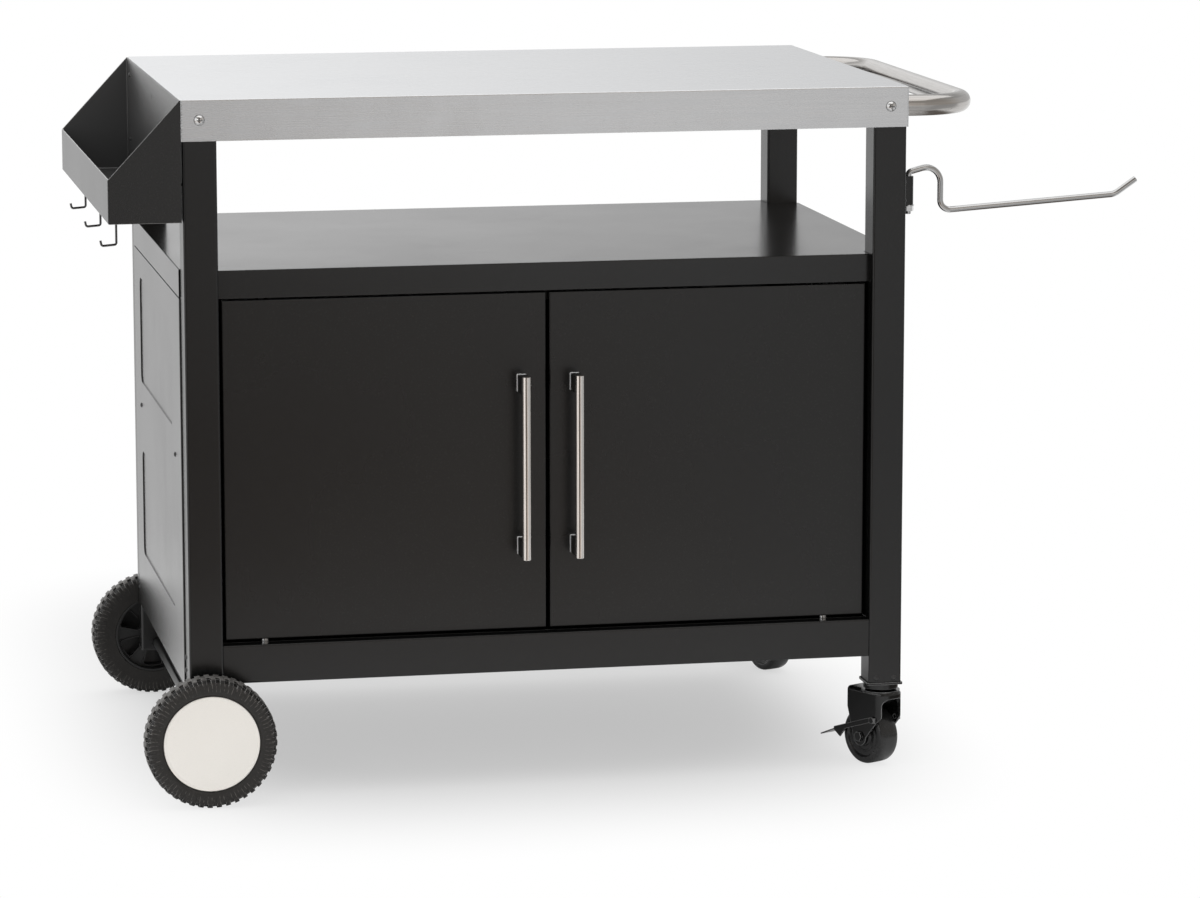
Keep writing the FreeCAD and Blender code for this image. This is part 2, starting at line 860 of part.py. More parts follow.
# Catches: a magnet block under the head rail, and a strike plate on each door's return
def make_catch():
    y0 = door_back + strike_thickness + catch_air_gap
    top = shelf_lip_bottom
    half = catch_width / 2
    plate = box(-half, half, y0 - catch_plate_reach, y0 + catch_depth, top - catch_plate_thickness, top)
    block = box(-half, half, y0, y0 + catch_depth, top - catch_height, top - join)
    block = block.makeFillet(catch_edge_radius, edges_along(block, (0, 0, 1)))
    return fused([plate, block])


def make_strike(side):
    x0 = door_inner + strike_margin
    z0 = door_top - door_return + strike_margin
    y1 = door_back + strike_thickness
    plate = box(x0, x0 + strike_width, door_back, y1, z0, door_top - strike_margin)
    return plate if side > 0 else mirror_x(plate)


# Side tray: a folded sheet with sloping cheeks, hung on the left apron
def make_tray():
    half_y = worktop_depth / 2
    top = worktop_height - tray_top_gap
    outline = [
        (tray_back_x, -half_y, tray_bottom),
        (tray_lip_x, -half_y, tray_bottom),
        (tray_lip_x, -half_y, tray_bottom + tray_lip_height),
        (tray_back_x - tray_sheet, -half_y, top),
        (tray_back_x, -half_y, top),
    ]
    outer = prism(outline, (0, 2 * half_y, 0))
    low_edges = edges_along(outer, (0, 1, 0), lambda p: p.z < tray_bottom + past and p.x < tray_back_x - past)
    cheek_edges = edges_along(outer, (0, 0, 1), lambda p: p.x < tray_back_x - past - tray_sheet)
    outer = outer.makeFillet(fold_radius, low_edges + cheek_edges)
    s = tray_sheet
    inner = box(tray_lip_x + s, tray_back_x - s, -half_y + s, half_y - s, tray_bottom + s, worktop_height)
    tray = outer.cut(inner)
    places = [
        (tray_back_x, side * tray_screw_spread, z)
        for side in (-1, 1)
        for z in (tray_high_screw_height, tray_low_screw_height)
    ]
    tray = drilled(tray, places, (1, 0, 0), small_hole)
    spare = [(tray_back_x, side * tray_hole_spread, worktop_height - tray_hole_drop) for side in (-1, 1)]
    tray = drilled(tray, spare, (1, 0, 0), tray_hole_radius)
    eyes = [(hook_eye_x, y, tray_bottom) for y in hook_places]
    tray = drilled(tray, eyes, (0, 0, 1), small_hole)
    slot = box(
        tray_back_x - s - past,
        tray_back_x + past,
        -tray_slot_width / 2,
        tray_slot_width / 2,
        worktop_screw_height - tray_slot_height / 2,
        worktop_screw_height + tray_slot_height / 2,
    )
    return tray.cut(slot)


# Tray hooks: bent wires, each with an eye held under the tray floor by a screw and nut
def make_tray_hooks():
    hooks = []
    z_top = tray_bottom - hook_wire_radius
    drop_x = tray_lip_x + hook_drop_from_lip
    for y in hook_places:
        wire = rod(
            [
                (hook_eye_x - hook_eye_radius + hook_eye_overlap, y, z_top),
                (drop_x, y, z_top),
                (drop_x, y, z_top - hook_drop + hook_wire_radius),
                (drop_x - hook_foot, y, z_top - hook_drop + hook_wire_radius - hook_foot_dip),
                (
                    drop_x - hook_foot - hook_tip_lean,
                    y,
                    z_top - hook_drop + hook_wire_radius - hook_foot_dip + hook_tip_rise,
                ),
            ],
            [hook_bend, hook_bend, hook_bend],
            hook_wire_radius,
        )
        thickness = 2 * hook_wire_radius
        eye = cylinder((hook_eye_x, y, tray_bottom), (0, 0, -1), hook_eye_radius, thickness)
        hooks.append(drilled(fused([wire, eye]), [(hook_eye_x, y, tray_bottom)], (0, 0, 1), small_hole))
    return Part.makeCompound(hooks)


def make_tray_hook_screws():
    solids = []
    floor_top = tray_bottom + tray_sheet
    eye_bottom = tray_bottom - 2 * hook_wire_radius
    shank = floor_top - eye_bottom + hook_nut_thickness + hook_screw_end
    for y in hook_places:
        solids.append(small_screw((hook_eye_x, y, floor_top), (0, 0, 1), shank))
        seat = (hook_eye_x, y, eye_bottom)
        nut = hexagon(seat, (0, 0, -1), hook_nut_across, hook_nut_thickness)
        solids.append(drilled(nut, [seat], (0, 0, 1), small_shank_radius + running_clearance))
    return Part.makeCompound(solids)


# Push handle: a bent tube with a threaded plug in each end, butted on the right apron
def push_path():
    x0 = worktop_width / 2
    x1 = x0 + push_reach - push_radius
    y = push_leg_spread
    return [(x0, -y, push_height), (x1, -y, push_height), (x1, y, push_height), (x0, y, push_height)]


def make_push_handle():
    path = push_path()
    bends = [push_bend, push_bend]
    outer = rod(path, bends, push_radius)
    inner_path = [
        (path[0][0] + push_plug, path[0][1], path[0][2]),
        path[1],
        path[2],
        (path[3][0] + push_plug, path[3][1], path[3][2]),
    ]
    tube = outer.cut(rod(inner_path, bends, push_radius - push_wall))
    bore = push_bolt_radius + running_clearance
    return drilled(tube, [path[0], path[3]], (1, 0, 0), bore, push_plug + past)


def make_push_bolts():
    bolts = []
    head_x = leg_outer_x - leg_wall
    for side in (-1, 1):
        y = side * push_leg_spread
        seat = (head_x, y, push_height)
        head = hexagon(seat, (-1, 0, 0), push_bolt_head_width, push_bolt_head_height)
        shank_end = worktop_width / 2 + push_plug - push_bolt_end_gap
        shank = cylinder(seat, (1, 0, 0), push_bolt_radius, shank_end - head_x)
        bolts.append(fused([head, shank]))
    return Part.makeCompound(bolts)


# Tank hook: a bent rod that swivels in a bored block on the front right leg
def make_hook_bracket():
    y = -leg_y
    x0 = leg_outer_x
    half = bracket_plate_width / 2
    plate = box(
        x0,
        x0 + bracket_plate_thickness,
        y - half,
        y + half,
        bracket_block_bottom,
        bracket_block_top,
    )
    plate = plate.makeFillet(bracket_plate_corner, edges_along(plate, (1, 0, 0)))
    block_half = bracket_block / 2
    block = box(
        x0 + join,
        swivel_x + block_half,
        y - block_half,
        y + block_half,
        bracket_block_bottom,
        bracket_block_top,
    )
    outer_edges = edges_along(block, (0, 0, 1), lambda p: p.x > swivel_x)
    block = block.makeFillet(bracket_block_round, outer_edges)
    height = bracket_block_top - bracket_block_bottom
    centre = [(swivel_x, y, bracket_middle)]
    bracket = drilled(fused([plate, block]), centre, (0, 0, 1), rod_radius + running_clearance, height)
    places = [(x0, by, bz) for by in hook_screw_y for bz in hook_screw_heights]
    return drilled(bracket, places, (1, 0, 0), small_hole)


def make_tank_hook():
    y = -leg_y
    points = [
        (swivel_x, y, rod_tail_height),
        (swivel_x, y, rod_shoulder_height),
        (swivel_x + rod_crest_reach, y, rod_crest_height),
        (swivel_x + rod_crest_reach, y, rod_arm_height),
        (swivel_x + rod_arm_reach, y, rod_arm_end_height),
        (swivel_x + rod_tip_reach, y, rod_tip_height),
    ]
    return rod(points, [rod_neck_bend, rod_crest_bend, rod_foot_bend, rod_tip_bend], rod_radius)


def make_tank_hook_nut():
    y = -leg_y
    seat = (swivel_x, y, bracket_block_bottom - side_play)
    nut = hexagon(seat, (0, 0, -1), rod_nut_width, rod_nut_height)
    washer = cylinder(seat, (0, 0, -1), rod_washer_radius, rod_washer_thickness)
    bore_radius = rod_radius + running_clearance
    return drilled(fused([nut, washer]), [seat], (0, 0, 1), bore_radius, rod_nut_height + past)


# Axle with its spacers and nuts
axle_bore = axle_radius + running_clearance


def make_axle():
    reach = wheel_centre_y + hub_outer_end + side_play + axle_nut_height
    axle = cylinder((-leg_x, -reach, axle_height), (0, 1, 0), axle_radius, 2 * reach)
    rims = [e for e in axle.Edges if e.BoundBox.YLength < 1e-4]
    return axle.makeChamfer(axle_chamfer, rims)


def make_spacers():
    spacers = []
    for end in (-1, 1):
        seat = (-leg_x, end * leg_outer_y, axle_height)
        length = wheel_centre_y - hub_inner_end - side_play - leg_outer_y
        ring = cylinder(seat, (0, end, 0), spacer_radius, length)
        spacers.append(drilled(ring, [seat], (0, 1, 0), axle_bore, length + past))
    return Part.makeCompound(spacers)


def make_axle_nuts():
    nuts = []
    for end in (-1, 1):
        seat = (-leg_x, end * (wheel_centre_y + hub_outer_end + side_play), axle_height)
        nut = hexagon(seat, (0, end, 0), axle_nut_width, axle_nut_height)
        nuts.append(drilled(nut, [seat], (0, 1, 0), axle_bore, axle_nut_height + past))
    return Part.makeCompound(nuts)


# Wheels: built at the middle of the axle with the bare cap towards -Y, then put in place
def wheel_placed(shape, end):
    placed = shape.copy()
    placed.translate(Vector(-leg_x, -wheel_centre_y, axle_height))
    return placed if end < 0 else mirror_y(placed)


def make_tyre(end):
    seat = rim_radius + tyre_seat_gap
    lap_seat = rim_lip_radius + tyre_seat_gap
    w = wheel_half_width
    cap_seat = [(-rim_face, seat), (-rim_face, cap_radius + sheet_gap)]
    side = [
        (w - tyre_bead_inset, seat + tyre_bead_height),
        (w, seat + tyre_wall_height),
        (w - tyre_shoulder_inset, wheel_radius - tyre_shoulder),
        (w - tyre_crown_shoulder, wheel_radius - tyre_crown_drop),
        (w - tyre_crown_inset, wheel_radius),
    ]
    lap = [(rim_face + rim_lip_height, lap_seat), (rim_face, lap_seat), (rim_face, seat)]
    outline = cap_seat + [(-along, out) for along, out in side] + side[::-1] + lap
    tyre = revolved(outline, (0, 0, 0), (0, 1, 0), (0, 0, 1))
    grooves = []
    pitch = 360.0 / tread_groove_count
    for k in range(tread_groove_count):
        for row, shift in ((-1, 0.0), (1, 0.5)):
            ends = sorted((row * tread_middle_rib / 2, row * (w + past)))
            groove = box(
                -tread_groove_width / 2,
                tread_groove_width / 2,
                ends[0],
                ends[1],
                wheel_radius - tread_groove_depth,
                wheel_radius + past,
            )
            groove.rotate(Vector(0, 0, 0), Vector(0, 1, 0), pitch * (k + shift))
            grooves.append(groove)
    return wheel_placed(tyre.cut(Part.makeCompound(grooves)), end)


def window_block(grow, y0, y1):
    """A slice of a ring with rounded corners: a window in the wheel's web, or the block around it."""
    half = math.radians(window_turn / 2)

    def on_ring(radius, turn):
        return Vector(radius * math.sin(turn), y0, radius * math.cos(turn))

    low = window_inner_radius
    high = window_outer_radius
    outer = Part.Arc(on_ring(high, -half), on_ring(high, 0), on_ring(high, half)).toShape()
    inner = Part.Arc(on_ring(low, half), on_ring(low, 0), on_ring(low, -half)).toShape()
    right = Part.makeLine(on_ring(high, half), on_ring(low, half))
    left = Part.makeLine(on_ring(low, -half), on_ring(high, -half))
    face = Part.Face(Part.Wire([outer, right, inner, left]))
    if grow > 0:
        face = face.makeOffset2D(grow, join=2)
    block = face.extrude(Vector(0, y1 - y0, 0))
    return block.makeFillet(window_corner + grow, edges_along(block, (0, 1, 0)))


def make_hub(end):
    rim = cylinder((0, -rim_face, 0), (0, 1, 0), rim_radius, 2 * rim_face)
    lip = cylinder((0, 0, 0), (0, 1, 0), rim_lip_radius, rim_face + rim_lip_height)
    rim = drilled(fused([rim, lip]), [(0, 0, 0)], (0, 1, 0), rim_inner_radius, wheel_half_width)
    web = cylinder((0, -hub_web_half, 0), (0, 1, 0), rim_inner_radius + past, 2 * hub_web_half)
    boss = cylinder((0, -hub_outer_end, 0), (0, 1, 0), hub_boss_radius, hub_outer_end + hub_inner_end)
    wall = window_block(window_wall, 0, hub_web_half + window_wall_height)
    window = window_block(0, -wheel_half_width, wheel_half_width)
    walls = []
    windows = []
    for k in range(window_count):
        for block, found in ((wall, walls), (window, windows)):
            turned = block.copy()
            turned.rotate(Vector(0, 0, 0), Vector(0, 1, 0), 360.0 / window_count * k)
            found.append(turned)
    hub = fused([rim, web, boss] + walls).cut(Part.makeCompound(windows))
    return wheel_placed(drilled(hub, [(0, 0, 0)], (0, 1, 0), axle_bore, wheel_half_width), end)


def make_cap(end):
    back = -rim_face
    face = back - cap_thickness
    disc = cylinder((0, face, 0), (0, 1, 0), cap_radius, cap_thickness)
    rims = [e for e in disc.Edges if abs(e.BoundBox.YMax - face) < 1e-4]
    disc = disc.makeFillet(cap_edge_radius, rims)
    skirt_radius = rim_inner_radius - cap_skirt_gap
    skirt = cylinder((0, back - join, 0), (0, 1, 0), skirt_radius, cap_skirt_depth + join)
    hollow = cylinder((0, back, 0), (0, 1, 0), skirt_radius - cap_skirt_wall, cap_skirt_depth + past)
    return wheel_placed(fused([disc, skirt]).cut(hollow), end)


# Casters: built with the swivel axis on Z and the wheel trailing along +X, then turned into place
def caster_placed(shape, end):
    placed = shape.copy()
    turn = caster_front_turn if end < 0 else caster_back_turn
    placed.rotate(Vector(0, 0, 0), Vector(0, 0, 1), turn)
    placed.translate(Vector(leg_x, end * leg_y, 0))
    return placed


def make_caster_plate(end):
    x = leg_x
    y = end * leg_y
    half = caster_plate_side / 2
    z0 = caster_leg_bottom - caster_plate_thickness
    plate = box(x - half, x + half, y - half, y + half, z0, caster_leg_bottom)
    plate = plate.makeFillet(leg_corner, edges_along(plate, (0, 0, 1)))
    plug_half = leg_side / 2 - leg_wall - plug_clearance
    plug = box(
        x - plug_half, x + plug_half, y - plug_half, y + plug_half, z0, caster_leg_bottom + caster_plug_height
    )
    plug = plug.makeFillet(leg_corner - leg_wall, edges_along(plug, (0, 0, 1)))
    race_bottom = fork_top + side_play
    race_middle = race_bottom + race_taper
    race = Part.makeCone(race_radius - race_taper, race_radius, race_taper, Vector(x, y, race_bottom))
    race_upper = cylinder((x, y, race_middle), (0, 0, 1), race_radius, z0 - race_middle)
    head_top = fork_top - fork_sheet - side_play
    pin = cylinder((x, y, head_top - join), (0, 0, 1), kingpin_radius, z0 - head_top + 2 * join)
    head = cylinder((x, y, head_top), (0, 0, -1), kingpin_head_radius, kingpin_head_height)
    whole = fused([plate, plug, race, race_upper, pin, head])
    places = [(x + shift, end * leg_outer_y, plug_screw_height) for shift in plug_screw_shifts]
    return drilled(whole, places, (0, 1, 0), small_hole)


def fork_block(front, back, half, top, corner, top_round):
    """A block under the swivel, rounded at its front corners and along its top."""
    block = box(-front, back, -half, half, 0, top)
    block = block.makeFillet(corner, edges_along(block, (0, 0, 1), lambda p: p.x < 0))
    rims = [e for e in edges_at_height(block, top) if e.BoundBox.XMin < back - past]
    return block.makeFillet(top_round, rims)


def make_fork(end):
    s = fork_sheet
    out = fork_inner_half + s
    outer = fork_block(fork_front, fork_back, out, fork_top, fork_corner, fork_top_round)
    inner = fork_block(
        fork_front - s, fork_back + past, fork_inner_half, fork_top - s, fork_corner - s, fork_top_round - s
    )
    foot_front = caster_trail - cheek_foot_radius
    foot_back = caster_trail + cheek_foot_radius
    side_outline = [
        (-fork_front - past, fork_top + past),
        (fork_back + past, fork_top + past),
        (fork_back + past, fork_top - cheek_shoulder),
        (foot_back, caster_wheel_radius),
        (foot_front, caster_wheel_radius),
        (-fork_front, fork_skirt_bottom),
        (-fork_front - past, fork_skirt_bottom),
    ]
    side_view = prism([(x, -out - past, z) for x, z in side_outline], (0, 2 * (out + past), 0))
    foot_start = (caster_trail, -out - past, caster_wheel_radius)
    foot = cylinder(foot_start, (0, 1, 0), cheek_foot_radius, 2 * (out + past))
    shell = outer.cut(inner).common(fused([side_view, foot]))
    arch_start = -fork_front - past
    arch = box(arch_start, fork_corner - fork_front, -fork_arch_half, fork_arch_half, 0, fork_arch_top)
    arch = arch.makeFillet(fork_arch_round, edges_along(arch, (1, 0, 0), lambda p: p.z > fork_skirt_bottom))
    crown = cylinder((0, 0, fork_top - s), (0, 0, 1), race_radius + s, s)
    fork = fused([shell.cut(arch), crown])
    fork = drilled(fork, [(0, 0, fork_top)], (0, 0, 1), kingpin_radius + running_clearance)
    bolt_place = [(caster_trail, 0, caster_wheel_radius)]
    fork = drilled(fork, bolt_place, (0, 1, 0), caster_bolt_radius + running_clearance, out + past)
    brake_place = [(brake_pivot_x, 0, brake_pivot_height)]
    fork = drilled(fork, brake_place, (0, 1, 0), brake_pin_radius + running_clearance, out + past)
    return caster_placed(fork, end)


def make_caster_wheel(end):
    w = caster_wheel_width / 2
    r = caster_wheel_radius
    boss = fork_inner_half - side_play
    half_outline = [
        (boss, caster_bolt_radius + running_clearance),
        (boss, caster_boss_radius),
        (w, caster_boss_radius + past),
        (w, caster_hub_face_radius),
        (w - caster_recess, caster_hub_radius),
        (w - caster_recess, r - caster_rim_inset),
        (w, r - caster_tread_inset),
        (w, r - caster_tread_shoulder),
        (w - caster_tread_edge, r - caster_tread_edge),
        (w - caster_tread_shoulder, r),
    ]
    outline = half_outline + [(-along, out) for along, out in half_outline[::-1]]
    wheel = revolved(outline, (caster_trail, 0, r), (0, 1, 0), (0, 0, 1))
    return caster_placed(wheel, end)


def make_caster_bolt(end):
    out = fork_inner_half + fork_sheet
    start = (caster_trail, -out - join, caster_wheel_radius)
    pieces = [cylinder(start, (0, 1, 0), caster_bolt_radius, 2 * (out + join))]
    for side in (-1, 1):
        seat = (caster_trail, side * out, caster_wheel_radius)
        pieces.append(hexagon(seat, (0, side, 0), caster_bolt_head_width, caster_bolt_head_height))
    return caster_placed(fused(pieces), end)


def make_brake(end):
    inner = fork_inner_half + fork_sheet + side_play
    outer = inner + brake_arm_sheet
    d = brake_arm_depth / 2
    x0 = brake_pivot_x
    z0 = brake_pivot_height
    lap_x = brake_pedal_start + brake_pedal_lap
    slope = (brake_start_height - brake_end_height) / (brake_pedal_end - brake_pedal_start)
    gusset_bottom = brake_start_height - d - brake_gusset_depth
    gusset_start = brake_pedal_start - brake_gusset_reach
    arm_fall = (z0 - brake_start_height) / (lap_x - x0 - brake_arm_straight)
    gusset_top = z0 - d - arm_fall * (gusset_start - x0 - brake_arm_straight)
    arm_outline = [
        (x0 - brake_arm_nose, z0 - d),
        (x0 - brake_arm_nose, z0 + d),
        (x0 + brake_arm_straight, z0 + d),
        (lap_x, brake_start_height + d),
        (lap_x, brake_start_height - slope * brake_pedal_lap),
        (brake_pedal_start - brake_gusset_reach / 2, gusset_bottom),
        (gusset_start, gusset_top),
        (x0 + brake_arm_straight, z0 - d),
    ]
    arm = prism([(x, inner, z) for x, z in arm_outline], (0, brake_arm_sheet, 0))
    stub_start = fork_inner_half + join
    stub = cylinder((x0, stub_start, z0), (0, 1, 0), brake_pin_radius, inner + join - stub_start)
    head = cylinder((x0, outer - join, z0), (0, 1, 0), brake_pin_radius + brake_pin_head_rim, brake_pin_head)
    pedal_outline = [
        (brake_pedal_start, brake_start_height),
        (brake_pedal_end, brake_end_height),
        (brake_pedal_end, brake_end_height + brake_pedal_sheet),
        (brake_pedal_start, brake_start_height + brake_pedal_sheet),
    ]
    pedal = prism([(x, -outer, z) for x, z in pedal_outline], (0, 2 * outer, 0))
    side_pieces = [arm, stub, head]
    pieces = side_pieces + [mirror_y(p) for p in side_pieces] + [pedal]
    return caster_placed(fused(pieces), end)


# Fasteners that repeat
def make_worktop_screws():
    return Part.makeCompound([pan_screw(p, (0, -1 if p[1] < 0 else 1, 0)) for p in worktop_screw_places])


def make_frame_screws():
    screws = []
    for side in (-1, 1):
        for y in bracket_screw_y:
            screws.append(small_screw((side * panel_outer_x, y, bracket_screw_height), (side, 0, 0)))
        for end in (-1, 1):
            for z in rail_screw_heights:
                screws.append(small_screw((side * leg_outer_x, end * rail_screw_y, z), (side, 0, 0)))
    for end in (-1, 1):
        for z in (tray_high_screw_height, tray_low_screw_height):
            seat = (tray_back_x - tray_sheet, end * tray_screw_spread, z)
            screws.append(small_screw(seat, (-1, 0, 0)))
        for shift in plug_screw_shifts:
            seat = (leg_x + shift, end * leg_outer_y, plug_screw_height)
            screws.append(small_screw(seat, (0, end, 0)))
    for y in hook_screw_y:
        for z in hook_screw_heights:
            screws.append(small_screw((leg_outer_x + bracket_plate_thickness, y, z), (1, 0, 0)))
    return Part.makeCompound(screws)


nodes = {
    "worktop": make_worktop(),
    "worktop_stiffeners": make_stiffeners(),
    "worktop_screws": make_worktop_screws(),
    "leg_front_left": make_leg(-1, -1),
    "leg_front_right": make_leg(1, -1),
    "leg_back_left": make_leg(-1, 1),
    "leg_back_right": make_leg(1, 1),
    "leg_caps": make_leg_caps(),
    "bottom_rail_front": make_long_rail(-1),
    "bottom_rail_back": make_long_rail(1),
    "bottom_rail_left": make_side_rail(-1),
    "bottom_rail_right": make_side_rail(1),
    "cabinet_floor": make_floor(),
    "side_panel_left": make_side_panel(-1),
    "side_panel_right": make_side_panel(1),
    "back_panel": make_back_panel(),
    "shelf": make_shelf(),
    "door_head_rail": make_head_rail(),
    "inner_shelf": make_inner_shelf(),
    "inner_shelf_brackets": make_brackets(),
    "door_left": make_door(-1),
    "door_right": make_door(1),
    "door_pivot_pins": make_pivot_pins(),
    "door_left_handle": make_handle_bar(-1),
    "door_right_handle": make_handle_bar(1),
    "door_left_handle_feet": make_handle_feet(-1),
    "door_right_handle_feet": make_handle_feet(1),
    "magnet_catch": make_catch(),
    "door_left_strike": make_strike(-1),
    "door_right_strike": make_strike(1),
    "side_tray": make_tray(),
    "tray_hooks": make_tray_hooks(),
    "tray_hook_screws": make_tray_hook_screws(),
    "push_handle": make_push_handle(),
    "push_handle_bolts": make_push_bolts(),
    "hook_bracket": make_hook_bracket(),
    "tank_hook": make_tank_hook(),
    "tank_hook_nut": make_tank_hook_nut(),
    "axle": make_axle(),
    "axle_spacers": make_spacers(),
    "axle_nuts": make_axle_nuts(),
    "frame_screws": make_frame_screws(),
}
for end_name, end in (("front", -1), ("back", 1)):
    nodes["wheel_" + end_name + "_tyre"] = make_tyre(end)
    nodes["wheel_" + end_name + "_hub"] = make_hub(end)
    nodes["wheel_" + end_name + "_cap"] = make_cap(end)
    nodes["caster_" + end_name + "_plate"] = make_caster_plate(end)
    nodes["caster_" + end_name + "_fork"] = make_fork(end)
    nodes["caster_" + end_name + "_wheel"] = make_caster_wheel(end)
    nodes["caster_" + end_name + "_bolt"] = make_caster_bolt(end)
    nodes["caster_" + end_name + "_brake"] = make_brake(end)

# The whole cart's middle in plan
boxes = [shape.optimalBoundingBox(False) for shape in nodes.values()]
middle_x = (min(b.XMin for b in boxes) + max(b.XMax for b in boxes)) / 2
middle_y = (min(b.YMin for b in boxes) + max(b.YMax for b in boxes)) / 2

os.makedirs("parts", exist_ok=True)
for name, shape in nodes.items():
    placed = shape.copy()
    placed.translate(Vector(-middle_x, -middle_y, 0))
    placed.exportStep("parts/" + name + ".step")
    print(name, len(placed.Solids), "solids", placed.isValid(), round(placed.Volume / 1000, 1), "cm3")
print("origin from the worktop's middle:", round(middle_x, 4), round(middle_y, 4))
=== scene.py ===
import math

import bmesh
import bpy
from mathutils import Matrix, Vector

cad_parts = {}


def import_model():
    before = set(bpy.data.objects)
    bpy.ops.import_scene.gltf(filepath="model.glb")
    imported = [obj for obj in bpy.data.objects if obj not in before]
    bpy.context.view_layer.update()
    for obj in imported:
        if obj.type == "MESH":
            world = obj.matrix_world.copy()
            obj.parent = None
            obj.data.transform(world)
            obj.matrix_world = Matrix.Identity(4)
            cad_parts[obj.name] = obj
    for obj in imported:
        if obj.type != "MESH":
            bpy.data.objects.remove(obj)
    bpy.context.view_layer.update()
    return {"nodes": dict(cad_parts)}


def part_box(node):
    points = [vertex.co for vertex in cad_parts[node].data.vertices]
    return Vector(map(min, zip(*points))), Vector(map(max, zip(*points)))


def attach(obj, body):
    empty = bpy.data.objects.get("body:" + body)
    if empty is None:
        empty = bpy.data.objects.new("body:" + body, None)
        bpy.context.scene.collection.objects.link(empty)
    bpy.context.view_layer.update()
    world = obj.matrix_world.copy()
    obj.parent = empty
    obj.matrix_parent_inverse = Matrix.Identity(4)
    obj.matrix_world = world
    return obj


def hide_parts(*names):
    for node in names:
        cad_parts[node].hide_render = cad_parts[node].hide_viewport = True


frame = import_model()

parts = frame["nodes"]

# Millimetres from the worktop's middle: X towards the push handle, Y towards the back, Z up from the floor
top_low, top_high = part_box("worktop")
middle = Vector(((top_low.x + top_high.x) / 2, (top_low.y + top_high.y) / 2, 0.0))


def at(x, y, z):
    return middle + Vector((x, y, z)) / 1000


def mm(value):
    return value / 1000


# Worktop and legs
worktop_half_width = (top_high.x - top_low.x) / 2 * 1000
worktop_half_depth = (top_high.y - top_low.y) / 2 * 1000
worktop_height = top_high.z * 1000
leg_side = 44.0
leg_inset = 2.0
leg_x = worktop_half_width - leg_inset - leg_side / 2
leg_y = worktop_half_depth - leg_inset - leg_side / 2

# Doors: their bars, the painted highlight at the feet of the bars' posts, and the height above which pins
# are painted dark as shade
door_front = (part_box("door_left")[0].y - middle.y) * 1000
bar_radius = 6.0
bar_standoff = 38.0
bar_from_middle = 35.0
bar_middle_height = 424.0
bar_half_length = 120.0
foot_highlight_length = 7.0
pin_shade_from = 400.0

# Push handle
push_radius = 14.0
push_drop = 28.0
push_reach = 108.0
push_half_spread = 290.0
push_bend = 70.0

# Tank hook: its route as (reach from the swivel, drop from the worktop) points, and the bends between
rod_radius = 4.0
swivel_offset = 8.5
rod_route = [(0.0, 170.0), (0.0, 115.0), (43.5, 103.5), (43.5, 166.5), (281.5, 150.4), (310.5, 130.5)]
rod_bends = [6.0, 20.0, 13.0, 22.0]

# Wheels
wheel_radius = 85.0
wheel_offset = 29.5
lug_count = 44
lug_height = 3.0
lug_share = 0.6
middle_rib_half_width = 4.0
tread_start = 77.0
cap_back_from = -16.1

# Casters
caster_wheel_radius = 38.0
caster_trail = 18.0
caster_turns = {"front": 118.0, "back": 112.0}

# Worktop screws, whose recess and painted shade are given in shares of the head's radius and height
screw_drop = 26.0
shank_radius = 3.0
shank_tip_radius = 2.4
shank_length = 12.0
head_radius = 7.0
head_height = 4.5
dome_power = 2.6
recess_centre = 0.16
recess_arm = 0.5
recess_half_angle = 14.0
recess_from = 0.75
recess_depth = 0.45
shade_within = 0.52
shade_below = 0.72
shade_rim_from = 0.93

# Camera, as the photograph was taken
camera_place = (-1150.18, -6301.61, 1487.42)
camera_direction = (0.196246, 0.965957, -0.168563)
camera_lens = 143.08

# Studio floor, in metres
floor_half_size = 30.0
floor_drop = 0.0004


# Shader helpers
def add(tree, kind, inputs=None, **settings):
    """A node with its settings, and its inputs as plain values or linked sockets."""
    node = tree.nodes.new(kind)
    for name, value in settings.items():
        setattr(node, name, value)
    fill(tree, node, inputs or {})
    return node


def fill(tree, node, inputs):
    for name, value in inputs.items():
        if isinstance(value, bpy.types.NodeSocket):
            tree.links.new(value, node.inputs[name])
        else:
            node.inputs[name].default_value = value


def maths(tree, operation, *values, clamp=False):
    inputs = dict(enumerate(values))
    return add(tree, "ShaderNodeMath", inputs, operation=operation, use_clamp=clamp).outputs[0]


def product(tree, first, *others):
    for other in others:
        first = maths(tree, "MULTIPLY", first, other)
    return first


def largest(tree, first, *others):
    for other in others:
        first = maths(tree, "MAXIMUM", first, other)
    return first


def vector_maths(tree, operation, *vectors):
    inputs = dict(enumerate(vectors))
    return add(tree, "ShaderNodeVectorMath", inputs, operation=operation).outputs["Vector"]


def length(tree, vector):
    return add(tree, "ShaderNodeVectorMath", {0: vector}, operation="LENGTH").outputs["Value"]


def axes(tree, vector):
    return add(tree, "ShaderNodeSeparateXYZ", {0: vector}).outputs


def joined(tree, x, y, z):
    return add(tree, "ShaderNodeCombineXYZ", {0: x, 1: y, 2: z}).outputs[0]


def ramp(tree, value, low, high, out_low=0.0, out_high=1.0, **settings):
    inputs = {"Value": value, "From Min": low, "From Max": high, "To Min": out_low, "To Max": out_high}
    return add(tree, "ShaderNodeMapRange", inputs, **settings).outputs[0]


def band(tree, value, rise, fall):
    """1 between a rise and a fall, each given as the place of its 0 and of its 1."""
    return product(tree, ramp(tree, value, *rise), ramp(tree, value, *fall))


def noise(tree, vector, scale, detail=2.0, roughness=0.5):
    inputs = {"Vector": vector, "Scale": scale, "Detail": detail, "Roughness": roughness}
    return add(tree, "ShaderNodeTexNoise", inputs).outputs["Fac"]


def stretched(tree, vector, x, y, z):
    return add(tree, "ShaderNodeMapping", {"Vector": vector, "Scale": (x, y, z)}).outputs[0]


def mix(tree, factor, first, second):
    return add(tree, "ShaderNodeMix", {0: factor, 2: first, 3: second}).outputs[0]


